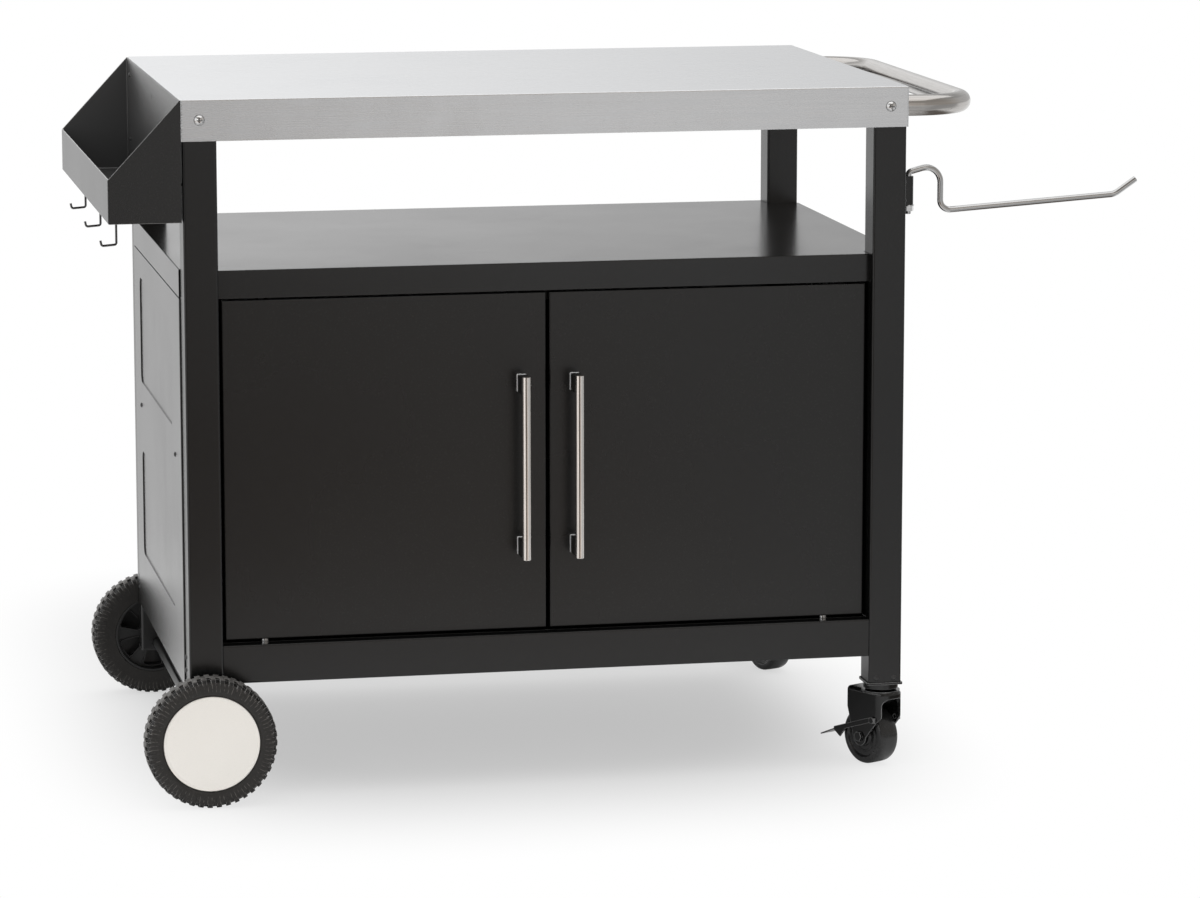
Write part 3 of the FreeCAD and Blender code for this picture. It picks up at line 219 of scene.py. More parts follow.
def mix_vector(tree, factor, first, second):
    return add(tree, "ShaderNodeMix", {0: factor, 4: first, 5: second}, data_type="VECTOR").outputs[1]


def mix_colour(tree, factor, first, second):
    return add(tree, "ShaderNodeMix", {0: factor, 6: first, 7: second}, data_type="RGBA").outputs[2]


def over(tree, colour, mask, share, other):
    """Lays another colour over a colour where a mask says so, by at most a share."""
    return mix_colour(tree, product(tree, mask, share), colour, other)


def bumped(tree, strength, depth, height, **normal):
    """A normal pressed by a height, depth millimetres deep, on a softened normal where one is given."""
    inputs = {"Strength": strength, "Distance": mm(depth), "Height": height, **normal}
    return add(tree, "ShaderNodeBump", inputs).outputs[0]


def group(name, inputs, outputs):
    """An empty shader group with named sockets, and its two end nodes."""
    tree = bpy.data.node_groups.new(name, "ShaderNodeTree")
    for label, kind, value in inputs:
        socket = tree.interface.new_socket(label, in_out="INPUT", socket_type="NodeSocket" + kind)
        if value is not None:
            socket.default_value = value
    for label, kind in outputs:
        tree.interface.new_socket(label, in_out="OUTPUT", socket_type="NodeSocket" + kind)
    return tree, tree.nodes.new("NodeGroupInput").outputs, tree.nodes.new("NodeGroupOutput")


def put(tree, shader_group, inputs):
    """Places a shader group in a material, with its own values."""
    node = add(tree, "ShaderNodeGroup", node_tree=shader_group)
    fill(tree, node, inputs)
    return node.outputs


# Edges that are softened, with a mask along them that the materials use for a painted highlight
def make_edge_group():
    tree, given, out = group(
        "softened edges",
        [("Radius", "Float", 0.001), ("Start", "Float", 0.02), ("Full", "Float", 0.3)],
        [("Edge", "Float"), ("Normal", "Vector")],
    )
    rounded = add(tree, "ShaderNodeBevel", {"Radius": given["Radius"]}, samples=6).outputs[0]
    true_normal = add(tree, "ShaderNodeNewGeometry").outputs["Normal"]
    compared = add(tree, "ShaderNodeVectorMath", {0: rounded, 1: true_normal}, operation="DOT_PRODUCT")
    turned = maths(tree, "SUBTRACT", 1.0, compared.outputs["Value"])
    edge = ramp(tree, turned, given["Start"], given["Full"])
    fill(tree, out, {"Edge": edge, "Normal": rounded})
    return tree


# Brushed grain: long fine scratches along the first coordinate
def make_grain_group():
    tree, given, out = group(
        "brushed grain",
        [("Vector", "Vector", None), ("Length", "Float", 14.0), ("Fineness", "Float", 900.0)],
        [("Scratches", "Float"), ("Bands", "Float")],
    )
    fine = joined(tree, given["Length"], given["Fineness"], given["Fineness"])
    along = vector_maths(tree, "MULTIPLY", given["Vector"], fine)
    scratches = noise(tree, along, 1.0, 3.0, 0.6)
    bands = noise(tree, vector_maths(tree, "MULTIPLY", along, (0.22, 0.22, 0.22)), 1.0, 1.0)
    fill(tree, out, {"Scratches": scratches, "Bands": bands})
    return tree


# Powder coat: the fine orange peel of the baked film, with faint clouding and specks
def make_powder_group():
    tree, given, out = group(
        "powder coat",
        [("Vector", "Vector", None), ("Peel", "Float", 620.0)],
        [("Height", "Float"), ("Cloud", "Float"), ("Specks", "Float")],
    )
    place = given["Vector"]
    fine = noise(tree, place, given["Peel"], 2.0, 0.45)
    wide = noise(tree, place, 170.0, 1.0)
    height = maths(tree, "ADD", fine, product(tree, wide, 0.5))
    cloud = noise(tree, place, 5.5, 3.0, 0.55)
    dots = add(tree, "ShaderNodeTexVoronoi", {"Vector": place, "Scale": 130.0}, feature="F1")
    specks = ramp(tree, dots.outputs["Distance"], 0.09, 0.04)
    fill(tree, out, {"Height": height, "Cloud": cloud, "Specks": specks})
    return tree


# Dust, and finger marks as soft patches that dull a gloss
def make_marks_group():
    tree, given, out = group(
        "handling marks",
        [("Vector", "Vector", None), ("Scale", "Float", 9.0)],
        [("Marks", "Float"), ("Dust", "Float")],
    )
    patches = noise(tree, given["Vector"], given["Scale"], 4.0, 0.6)
    smears = noise(tree, stretched(tree, given["Vector"], 30.0, 30.0, 9.0), 1.0, 3.0, 0.6)
    marks = product(tree, ramp(tree, patches, 0.45, 0.75), ramp(tree, smears, 0.35, 0.8))
    dust = ramp(tree, noise(tree, given["Vector"], 380.0, 3.0, 0.7), 0.55, 0.8)
    fill(tree, out, {"Marks": marks, "Dust": dust})
    return tree


edge_group = make_edge_group()
grain_group = make_grain_group()
powder_group = make_powder_group()
marks_group = make_marks_group()


def new_material(name, **constants):
    """A material with a Principled shader, whose plain values are set on its own sockets."""
    material = bpy.data.materials.new(name)
    material.use_nodes = True
    tree = material.node_tree
    shader = tree.nodes["Principled BSDF"]
    for label, value in constants.items():
        shader.inputs[label.replace("_", " ")].default_value = value
    return material, tree, shader, add(tree, "ShaderNodeTexCoord").outputs


def grey(value, warmth=0.0):
    return (value * (1 + warmth), value, value * (1 - warmth), 1.0)


white = grey(1.0)


# Brushed stainless sheet: the grain runs along X, and along Y on the two end aprons
def stainless_sheet(name):
    material, tree, shader, coordinates = new_material(name, Metallic=1.0)
    place = axes(tree, coordinates["Object"])
    on_end = ramp(tree, maths(tree, "ABSOLUTE", axes(tree, coordinates["Normal"])[0]), 0.6, 0.8)
    turned = joined(tree, place[1], place[0], place[2])
    along = mix_vector(tree, on_end, coordinates["Object"], turned)
    grain = put(tree, grain_group, {"Vector": along, "Length": 16.0, "Fineness": 1100.0})
    marks = put(tree, marks_group, {"Vector": coordinates["Object"], "Scale": 6.0})
    edges = put(tree, edge_group, {"Radius": mm(1.5), "Start": 0.03, "Full": 0.35})
    tone = ramp(tree, grain["Scratches"], 0.3, 0.7)
    colour = mix_colour(tree, tone, (0.63, 0.64, 0.655, 1), (0.74, 0.75, 0.765, 1))
    colour = over(tree, colour, grain["Bands"], 0.35, (0.6, 0.605, 0.615, 1))
    # The edges are painted paler: a painted highlight along them
    colour = over(tree, colour, edges["Edge"], 0.5, (0.86, 0.87, 0.88, 1))
    rough = ramp(tree, grain["Scratches"], 0.25, 0.75, 0.2, 0.3)
    rough = maths(tree, "ADD", rough, product(tree, marks["Marks"], 0.08))
    normal = bumped(tree, 0.1, 0.2, grain["Scratches"], Normal=edges["Normal"])
    fill(tree, shader, {"Base Color": colour, "Roughness": rough, "Normal": normal})
    return material


# Brushed stainless bar and tube: the grain runs along the bar, wherever it bends
def stainless_bar(name, tone, warmth):
    material, tree, shader, coordinates = new_material(name, Metallic=1.0)
    straight = add(tree, "ShaderNodeAttribute", attribute_name="straightened").outputs["Vector"]
    grain = put(tree, grain_group, {"Vector": straight, "Length": 20.0, "Fineness": 1500.0})
    marks = put(tree, marks_group, {"Vector": coordinates["Object"], "Scale": 18.0})
    mottle = ramp(tree, grain["Scratches"], 0.3, 0.7)
    colour = mix_colour(tree, mottle, grey(tone * 0.82, warmth), grey(tone * 1.12, warmth))
    colour = over(tree, colour, marks["Marks"], 0.35, grey(tone * 0.7, warmth))
    rough = ramp(tree, grain["Bands"], 0.3, 0.7, 0.13, 0.2)
    rough = maths(tree, "ADD", rough, product(tree, marks["Marks"], 0.08))
    normal = bumped(tree, 0.15, 0.1, grain["Scratches"])
    fill(tree, shader, {"Base Color": colour, "Roughness": rough, "Normal": normal})
    return material


# Chromed and bright plated metal
def bright_metal(name, tone, roughness, mottling, metallic=1.0, coat_and_shade=None):
    """The last argument is (axis, place, direction): beyond that place on that axis, in the direction 1 or
    -1, the colour turns black, as a real black coat on the handle posts and as painted shade on the upper
    pins."""
    material, tree, shader, coordinates = new_material(name, Metallic=metallic)
    marks = put(tree, marks_group, {"Vector": coordinates["Object"], "Scale": 40.0})
    cloud = noise(tree, coordinates["Object"], 260.0, 3.0, 0.6)
    edges = put(tree, edge_group, {"Radius": mm(0.4), "Start": 0.05, "Full": 0.5})
    colour = mix_colour(tree, ramp(tree, cloud, 0.35, 0.65), grey(tone * (1 - mottling)), grey(tone))
    colour = over(tree, colour, marks["Dust"], 0.15, grey(0.45, 0.03))
    if coat_and_shade:
        axis, start, direction = coat_and_shade
        along = axes(tree, coordinates["Object"])[axis]
        colour = mix_colour(tree, ramp(tree, along, start, start + mm(direction)), colour, grey(0.012))
    rough = maths(tree, "ADD", roughness, product(tree, marks["Marks"], 0.16))
    fill(tree, shader, {"Base Color": colour, "Roughness": rough, "Normal": edges["Normal"]})
    return material


def inside_tray(tree, place):
    """Masks of the side tray's inner faces, and of all of the tray but its back wall."""
    low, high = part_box("side_tray")
    from_centre = vector_maths(tree, "ABSOLUTE", vector_maths(tree, "SUBTRACT", place, (low + high) / 2))
    past_side = axes(tree, vector_maths(tree, "SUBTRACT", from_centre, (high - low) / 2))
    inside = ramp(tree, largest(tree, *past_side), mm(-0.5), mm(-1.0))
    off_back_wall = ramp(tree, axes(tree, place)[0], high.x - mm(1.4), high.x - mm(1.7))
    return inside, off_back_wall


# Black powder coat, as on the legs, doors, shelf and panels
def powder_black(
    name, tone, roughness, edge_radius, edge_highlight_tone, warmth=0.0, edge_highlight_share=0.6, tray_inside_painted_light=None
):
    """The edges take a paler line, a painted highlight, and the side tray's inner faces can take a lighter
    tone of their own, painted light falling into the tray.
    """
    material, tree, shader, coordinates = new_material(name, IOR=1.5)
    coat = put(tree, powder_group, {"Vector": coordinates["Object"], "Peel": 620.0})
    marks = put(tree, marks_group, {"Vector": coordinates["Object"], "Scale": 8.0})
    edges = put(tree, edge_group, {"Radius": mm(edge_radius), "Start": 0.04, "Full": 0.4})
    edge = edges["Edge"]
    clouded = ramp(tree, coat["Cloud"], 0.3, 0.7)
    colour = mix_colour(tree, clouded, grey(tone * 0.86, warmth), grey(tone * 1.14, warmth))
    colour = over(tree, colour, coat["Specks"], 0.25, grey(tone * 2.2))
    colour = over(tree, colour, marks["Dust"], 0.08, grey(0.16, 0.02))
    if tray_inside_painted_light:
        inside, off_back_wall = inside_tray(tree, coordinates["Object"])
        # The tray's inner faces are painted lighter: painted light falling into the tray
        colour = mix_colour(tree, inside, colour, grey(tray_inside_painted_light))
        edge = product(tree, edge, off_back_wall)
    # A painted highlight: the edges are painted paler
    colour = over(tree, colour, edge, edge_highlight_share, grey(edge_highlight_tone))
    rough = ramp(tree, coat["Cloud"], 0.25, 0.75, roughness - 0.01, roughness + 0.02)
    rough = maths(tree, "ADD", rough, product(tree, marks["Marks"], 0.03))
    normal = bumped(tree, 0.2, 0.08, coat["Height"], Normal=edges["Normal"])
    fill(tree, shader, {"Base Color": colour, "Roughness": rough, "Normal": normal})
    return material


# Black rubber: fine moulded ribs on the side walls, painted highlights on the ribs and lug edges, and
# painted shade in the hollows
def tyre_rubber(name, tone):
    material, tree, shader, coordinates = new_material(name, IOR=1.5, Specular_IOR_Level=0.35)
    from_axle = vector_maths(tree, "SUBTRACT", coordinates["Object"], at(-leg_x, 0, wheel_radius))
    x, _, z = axes(tree, from_axle)
    radius = length(tree, joined(tree, x, 0.0, z))
    grit = noise(tree, coordinates["Object"], 900.0, 3.0, 0.6)
    broken = ramp(tree, noise(tree, coordinates["Object"], 150.0, 2.0, 0.6), 0.42, 0.6)
    marks = put(tree, marks_group, {"Vector": coordinates["Object"], "Scale": 22.0})
    edges = put(tree, edge_group, {"Radius": mm(1.1), "Start": 0.07, "Full": 0.28})
    colour = mix_colour(tree, ramp(tree, grit, 0.3, 0.7), grey(tone * 0.8, 0.08), grey(tone * 1.2, 0.08))

    rib_count = 2.0 * lug_count
    turn = maths(tree, "ARCTAN2", x, z)
    ribs = ramp(tree, maths(tree, "SINE", product(tree, turn, rib_count)), 0.8, 0.98)
    ribs = product(tree, ribs, band(tree, radius, rise=(mm(68), mm(70.5)), fall=(mm(80.5), mm(78.5))))
    # The moulded ribs are also painted lighter: a painted highlight along them
    colour = over(tree, colour, product(tree, ribs, broken), 0.42, grey(0.24, 0.08))

    # Painted shade in the hollows between the lugs
    hollow_shade = band(tree, radius, rise=(mm(80), mm(81)), fall=(mm(83.4), mm(82.6)))
    colour = over(tree, colour, hollow_shade, 0.8, grey(0.004))
    # A painted highlight along the lug edges, strongest on the tread and broken up at random
    on_tread = ramp(tree, radius, mm(tread_start), mm(81))
    lug_edge_highlight = product(tree, edges["Edge"], ramp(tree, on_tread, 0.0, 1.0, 0.2, 1.0))
    lug_edge_highlight = product(tree, lug_edge_highlight, ramp(tree, broken, 0.0, 1.0, 0.6, 1.0))
    colour = mix_colour(tree, lug_edge_highlight, colour, grey(0.8, 0.03))
    # Paler lug tops: part wear and part painted light
    worn_and_lit = product(tree, ramp(tree, radius, mm(83.4), mm(84.4)), ramp(tree, broken, 0.0, 1.0, 0.3, 0.7))
    colour = mix_colour(tree, worn_and_lit, colour, grey(0.2, 0.04))
    colour = over(tree, colour, marks["Dust"], 0.22, grey(0.12, 0.08))

    rough = ramp(tree, grit, 0.3, 0.7, 0.46, 0.6)
    height = maths(tree, "ADD", ribs, product(tree, grit, 0.25))
    normal = bumped(tree, 0.7, 0.8, height, Normal=edges["Normal"])
    fill(tree, shader, {"Base Color": colour, "Roughness": rough, "Normal": normal})
    return material


# Moulded black plastic, with a fine spark-eroded grain and a painted highlight along its edges
def moulded_plastic(name, tone, roughness, edge_radius=0.8):
    material, tree, shader, coordinates = new_material(name, IOR=1.48)
    grain = noise(tree, coordinates["Object"], 1300.0, 2.0, 0.5)
    marks = put(tree, marks_group, {"Vector": coordinates["Object"], "Scale": 30.0})
    edges = put(tree, edge_group, {"Radius": mm(edge_radius), "Start": 0.05, "Full": 0.5})
    colour = mix_colour(tree, ramp(tree, grain, 0.35, 0.65), grey(tone * 0.9), grey(tone * 1.1))
    colour = over(tree, colour, edges["Edge"], 0.3, grey(tone * 2.4))
    colour = over(tree, colour, marks["Dust"], 0.14, grey(0.12, 0.04))
    rough = ramp(tree, marks["Marks"], 0.0, 1.0, roughness, roughness + 0.18)
    normal = bumped(tree, 0.18, 0.08, grain, Normal=edges["Normal"])
    fill(tree, shader, {"Base Color": colour, "Roughness": rough, "Normal": normal})
    return material


# Satin silver lacquer of the wheel caps
def silver_lacquer(name):
    material, tree, shader, coordinates = new_material(name, IOR=1.5)
    flake = noise(tree, coordinates["Object"], 2600.0, 2.0, 0.6)
    cloud = noise(tree, coordinates["Object"], 14.0, 2.0)
    marks = put(tree, marks_group, {"Vector": coordinates["Object"], "Scale": 26.0})
    edges = put(tree, edge_group, {"Radius": mm(0.6), "Start": 0.05, "Full": 0.5})
    colour = mix_colour(tree, ramp(tree, flake, 0.3, 0.7), (0.88, 0.845, 0.79, 1), (0.96, 0.93, 0.875, 1))
    colour = over(tree, colour, cloud, 0.2, (0.8, 0.77, 0.73, 1))
    colour = over(tree, colour, marks["Dust"], 0.1, (0.5, 0.48, 0.45, 1))
    shine = ramp(tree, flake, 0.3, 0.7, 0.0, 0.25)
    rough = ramp(tree, marks["Marks"], 0.0, 1.0, 0.3, 0.46)
    normal = bumped(tree, 0.06, 0.1, flake, Normal=edges["Normal"])
    fill(tree, shader, {"Base Color": colour, "Metallic": shine, "Roughness": rough, "Normal": normal})
    return material


worktop_steel = stainless_sheet("brushed stainless worktop")
# One brushed stainless in two copies: lighter on the bars and darker on the tube, as painted light and
# shade
handle_steel = stainless_bar("brushed stainless bar", tone=0.82, warmth=0.04)
push_steel_shaded = stainless_bar("brushed stainless tube", tone=0.47, warmth=0.035)
hook_chrome = bright_metal("polished chrome rod", tone=0.53, roughness=0.07, mottling=0.08)
# The thin tray hooks take a much darker copy of the chrome: painted shade
hook_wire_shaded = bright_metal("chrome hook wire, darkened as painted shade", tone=0.14, roughness=0.12, mottling=0.2)
bright_zinc = bright_metal("bright plated screw", tone=0.72, roughness=0.16, mottling=0.2)
plain_steel = bright_metal("plain steel strip", tone=0.55, roughness=0.3, mottling=0.25)
# The upper pivot pins are painted black over their bright plating: painted shade
pivot_zinc_upper_shade = bright_metal(
    "bright lower pivot pin, upper pin painted dark as shade",
    tone=0.9,
    roughness=0.2,
    mottling=0.1,
    coat_and_shade=(2, mm(pin_shade_from), 1),
)
# The posts are black, and a near-white band at the door is a painted highlight along their feet
post_foot_highlight = bright_metal(
    "handle post, coated, with a bright foot on the door",
    tone=0.95,
    roughness=0.3,
    mottling=0.1,
    metallic=0.0,
    coat_and_shade=(1, at(0, door_front - foot_highlight_length, 0).y, -1),
)
frame_black = powder_black(
    "satin black frame coat", tone=0.0035, roughness=0.25, edge_radius=1.4, edge_highlight_tone=0.14
)
door_black = powder_black(
    "satin black door coat", tone=0.0036, roughness=0.27, warmth=0.04, edge_radius=1.0, edge_highlight_tone=0.03
)
panel_black = powder_black(
    "satin black panel coat", tone=0.004, roughness=0.2, edge_radius=1.0, edge_highlight_tone=0.1
)
# Bright painted highlights along the tray's edges, and its inner faces painted lighter as light falling in
tray_black = powder_black(
    "satin black tray coat",
    tone=0.012,
    roughness=0.24,
    edge_radius=1.8,
    edge_highlight_tone=0.7,
    edge_highlight_share=0.9,
    tray_inside_painted_light=0.06,
)
dark_zinc_and_screw_shade = powder_black("blackened screw, also painted shade on bright screws", tone=0.02, roughness=0.34, edge_radius=0.4, edge_highlight_tone=0.2)
axle_black = powder_black("black plated axle", tone=0.014, roughness=0.3, edge_radius=0.4, edge_highlight_tone=0.1)
# The casters' edges are painted bright: a painted highlight
caster_gloss = powder_black(
    "gloss black caster coat", tone=0.004, roughness=0.1, edge_radius=1.6, edge_highlight_tone=0.5, edge_highlight_share=0.9
)
rubber = tyre_rubber("black tyre rubber", tone=0.02)
cap_silver = silver_lacquer("bare silver cap")
hub_plastic = moulded_plastic("black moulded hub", tone=0.016, roughness=0.36)
plug_plastic = moulded_plastic("black plug plastic", tone=0.018, roughness=0.5)
caster_wheel_plastic = moulded_plastic("black caster wheel", tone=0.012, roughness=0.22, edge_radius=1.4)

finishes = {
    worktop_steel: ["worktop"],
    frame_black: [
        "worktop_stiffeners",
        "leg_front_left",
        "leg_front_right",
        "leg_back_left",
        "leg_back_right",
        "bottom_rail_front",
        "bottom_rail_back",
        "bottom_rail_left",
        "bottom_rail_right",
        "door_head_rail",
        "inner_shelf_brackets",
        "hook_bracket",
    ],
    panel_black: [
        "cabinet_floor",
        "side_panel_left",
        "side_panel_right",
        "back_panel",
        "shelf",
        "inner_shelf",
    ],
    tray_black: ["side_tray"],
    door_black: ["door_left", "door_right"],
    post_foot_highlight: ["door_left_handle_feet", "door_right_handle_feet"],
    handle_steel: ["door_left_handle", "door_right_handle"],
    push_steel_shaded: ["push_handle"],
    hook_chrome: ["tank_hook"],
    hook_wire_shaded: ["tray_hooks"],
    bright_zinc: ["worktop_screws", "tray_hook_screws", "tank_hook_nut"],
    pivot_zinc_upper_shade: ["door_pivot_pins"],
    plain_steel: ["door_left_strike", "door_right_strike"],
    dark_zinc_and_screw_shade: ["frame_screws", "push_handle_bolts"],
    axle_black: ["axle", "axle_spacers", "axle_nuts"],
    rubber: ["wheel_front_tyre", "wheel_back_tyre"],
    hub_plastic: ["wheel_front_hub", "wheel_back_hub"],
    cap_silver: ["wheel_front_cap", "wheel_back_cap"],
    plug_plastic: ["leg_caps", "magnet_catch"],
    caster_gloss: [
        "caster_front_plate",
        "caster_back_plate",
        "caster_front_fork",
        "caster_back_fork",
        "caster_front_bolt",
        "caster_back_bolt",
        "caster_front_brake",
        "caster_back_brake",
    ],
    caster_wheel_plastic: ["caster_front_wheel", "caster_back_wheel"],
}
for finish, names in finishes.items():
    for name in names:
        parts[name].data.materials.clear()
        parts[name].data.materials.append(finish)


# Modelling helpers
def dressed(node, bm, body, slot, *materials, sharp=32.0):
    """Turns a bmesh into a piece that stands for a solid, rides on its body and shades smoothly between
    edges of more than sharp degrees."""
    mesh = bpy.data.meshes.new(node + "_dressed")
    bm.to_mesh(mesh)
    bm.free()
    mesh.shade_smooth()
    mesh.set_sharp_from_angle(angle=math.radians(sharp))
    for material in materials:
        mesh.materials.append(material)
    obj = bpy.data.objects.new(node + "_dressed", mesh)
    bpy.context.scene.collection.objects.link(obj)
    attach(obj, body)
    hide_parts(node)


def vertices(made):
    return [item for item in made if isinstance(item, bmesh.types.BMVert)]


def edges_between(verts):
    """The edges with both ends among these vertices, each once and in a fixed order."""
    among = set(verts)
    return list(dict.fromkeys(e for v in verts for e in v.link_edges if e.other_vert(v) in among))


def faces_at(verts):
    """The faces that touch these vertices, each once and in a fixed order."""
    return list(dict.fromkeys(f for v in verts for f in v.link_faces))


def softened(bm, edges, width):
    bmesh.ops.bevel(
        bm,
        geom=edges,
        offset=width,
        offset_type="OFFSET",
        affect="EDGES",
        segments=2,
        profile=0.5,
        material=-1,
        clamp_overlap=True,
    )


def lathe(outline, steps, closed=True):
    """A ring or disc turned about Y from an outline of (along, radius) points, in millimetres."""
    bm = bmesh.new()
    points = [bm.verts.new((0.0, mm(along), mm(out))) for along, out in outline]
    pairs = list(zip(points, points[1:])) + ([(points[-1], points[0])] if closed else [])
    edges = [bm.edges.new(pair) for pair in pairs]
    bmesh.ops.spin(
        bm,
        geom=points + edges,
        cent=(0, 0, 0),
        axis=(0, 1, 0),
        angle=math.tau,
        steps=steps,
        use_merge=True,
    )
    bmesh.ops.remove_doubles(bm, verts=bm.verts, dist=mm(0.001))
    bmesh.ops.dissolve_degenerate(bm, edges=bm.edges, dist=mm(0.0001))
    bmesh.ops.recalc_face_normals(bm, faces=bm.faces)
    return bm


def bent_bar(points, bends, radius, sides, bend_steps, end_width):
    """A round bar along straight runs and arcs in one plane, all in millimetres from the worktop's middle.
    Each point of its surface also keeps its place on the straightened bar, for the grain."""
    path = [at(*p) for p in points]
    bm = bmesh.new()
    straightened = bm.verts.layers.float_vector.new("straightened")
    into = (path[1] - path[0]).normalized()
    plane = into.cross(path[2] - path[1]).normalized() if len(path) > 2 else into.orthogonal().normalized()
    section = Matrix((plane, into.cross(plane), into)).transposed().to_4x4()
    first = bmesh.ops.create_circle(
        bm,
        cap_ends=False,
        radius=mm(radius),
        segments=sides,
        matrix=Matrix.Translation(path[0]) @ section,
    )["verts"]
    tip = {"ring": first, "centre": path[0].copy(), "run": 0.0}

    def record(direction):
        across = direction.cross(plane)
        for v in tip["ring"]:
            out = v.co - tip["centre"]
            v[straightened] = Vector((tip["run"], out.dot(plane), out.dot(across)))

    def grow():
        made = bmesh.ops.extrude_edge_only(bm, edges=edges_between(tip["ring"]))["geom"]
        tip["ring"] = vertices(made)

    def straight_run(end, direction):
        run = end - tip["centre"]
        if run.length < mm(0.0001):
            return
        grow()
        bmesh.ops.translate(bm, verts=tip["ring"], vec=run)
        tip["centre"] = end.copy()
        tip["run"] += run.length
        record(direction)

    record(into)
    for corner, after, bend in zip(path[1:], path[2:], bends):
        out = (after - corner).normalized()
        turn = into.angle(out)
        normal = into.cross(out).normalized()
        arc_start = corner - into * (mm(bend) * math.tan(turn / 2))
        straight_run(arc_start, into)
        pivot = arc_start + normal.cross(into) * mm(bend)
        step = Matrix.Rotation(turn / bend_steps, 3, normal)
        for _ in range(bend_steps):
            grow()
            bmesh.ops.rotate(bm, cent=pivot, matrix=step, verts=tip["ring"])
            tip["centre"] = pivot + step @ (tip["centre"] - pivot)
            into = step @ into
            tip["run"] += mm(bend) * turn / bend_steps
            record(into)
        into = out
    straight_run(path[-1], into)
    for ring in (first, tip["ring"]):
        rim = edges_between(ring)
        bmesh.ops.contextual_create(bm, geom=rim)
        softened(bm, rim, mm(end_width))
    bmesh.ops.recalc_face_normals(bm, faces=bm.faces)
    return bm


def placed(bm, matrix):
    bmesh.ops.transform(bm, matrix=matrix, verts=bm.verts)
    if matrix.to_3x3().determinant() < 0:
        bmesh.ops.reverse_faces(bm, faces=bm.faces)
    return bm


# Wheels, outlined as the front one, which the back one mirrors
def tyre():
    """A solid tyre with two rows of staggered lugs over its shoulders, and a lap over the inner rim."""
    side_wall = [(19.4, 66.5), (20.0, 72.1), (19.6, 76.5), (18.4, 79.6)]
    lug_root = 75.0
    lug_shoulder = 81.4
    groove = wheel_radius - lug_height
    crown = [(15.0, lug_shoulder), (12.5, groove), (4.2, groove)]
    cap_side = [(-16.0, 60.1), (-16.0, 62.8), (-18.2, 64.6)]
    lap = [(18.6, 58.0), (18.4, 53.8), (17.8, 53.1), (16.0, 53.1), (16.0, 60.1)]
    half = side_wall + crown
    outline = cap_side + [(-along, out) for along, out in half] + half[::-1] + lap
    steps_per_lug = 4
    bm = lathe(outline, steps=lug_count * steps_per_lug)
    lugs = []
    for face in bm.faces:
        c = face.calc_center_median()
        if math.hypot(c.x, c.z) < mm(tread_start):
            continue
        stagger = 0.5 if c.y > 0 else 0.0
        share_of_pitch = (math.atan2(c.x, c.z) * lug_count / math.tau + stagger) % 1.0
        if abs(c.y) < mm(middle_rib_half_width) or share_of_pitch < lug_share:
            lugs.append(face)
    raised = bmesh.ops.extrude_face_region(bm, geom=lugs)["geom"]
    for v in vertices(raised):
        radius = math.hypot(v.co.x, v.co.z)
        share = min(1.0, max(0.0, (radius - mm(lug_root)) / mm(lug_shoulder - lug_root)))
        grown = 1 + mm(lug_height) * share / radius
        v.co.x *= grown
        v.co.z *= grown
    bmesh.ops.delete(bm, geom=lugs, context="FACES_ONLY")
    bmesh.ops.recalc_face_normals(bm, faces=bm.faces)
    return bm


def cap():
    """A plain pressed disc with a rolled rim, and a black back whose skirt snaps into the hub's rim."""
    face = [(-17.35, 0.0), (-17.4, 30.0), (-17.3, 50.0), (-17.05, 57.2), (-17.1, 58.4)]
    rolled_rim = [(-17.6, 59.2), (-17.95, 60.2), (-17.85, 61.3), (-17.3, 61.9), (-16.3, 61.95)]
    skirt = [(-16.02, 61.6), (-16.02, 49.7), (-10.2, 49.6), (-10.0, 49.2), (-10.2, 47.8), (-15.8, 47.7)]
    back = [(-16.0, 47.0), (-16.0, 0.0)]
    bm = lathe(face + rolled_rim + skirt + back, steps=128, closed=False)
    for f in bm.faces:
        f.material_index = int(f.calc_center_median().y > mm(cap_back_from))
    return bm


def caster_wheel():
    """A solid wheel with a stepped hub, a dished side and a crowned, slightly softer tread."""
    hub = [(18.2, 4.05), (18.2, 7.4), (17.7, 8.0), (16.1, 8.6), (15.8, 12.6), (15.0, 13.4), (13.0, 14.6)]
    dish = [(12.9, 19.0), (13.6, 19.6), (13.6, 21.6), (12.9, 22.2), (13.0, 27.0), (15.0, 28.2)]
    shoulder = [(15.9, 29.4), (15.9, 33.4), (15.3, 35.4), (13.8, 37.0), (11.4, 37.8)]
    half = hub + dish + shoulder + [(5.0, caster_wheel_radius)]
    return lathe(half + [(-along, out) for along, out in half[::-1]], steps=96)


cart_ends = (("front", -1), ("back", 1))
for end_name, end in cart_ends:
    place = Matrix.Translation(at(-leg_x, end * (leg_y + leg_side / 2 + wheel_offset), wheel_radius))
    if end > 0:
        place = place @ Matrix.Diagonal((1, -1, 1, 1))
    wheel = "wheel_" + end_name
    body = end_name + "_wheel"
    dressed(wheel + "_tyre", placed(tyre(), place), body, "tyre_rubber", rubber)
    dressed(wheel + "_cap", placed(cap(), place), body, "cap_silver", cap_silver, hub_plastic)

for end_name, end in cart_ends:
    turn = Matrix.Rotation(math.radians(caster_turns[end_name]), 4, "Z")
    trail = Matrix.Translation((mm(caster_trail), 0, mm(caster_wheel_radius)))
    place = Matrix.Translation(at(leg_x, end * leg_y, 0)) @ turn @ trail
    node = "caster_" + end_name + "_wheel"
    body = end_name + "_caster_wheel"
    dressed(node, placed(caster_wheel(), place), body, "caster_tread", caster_wheel_plastic)

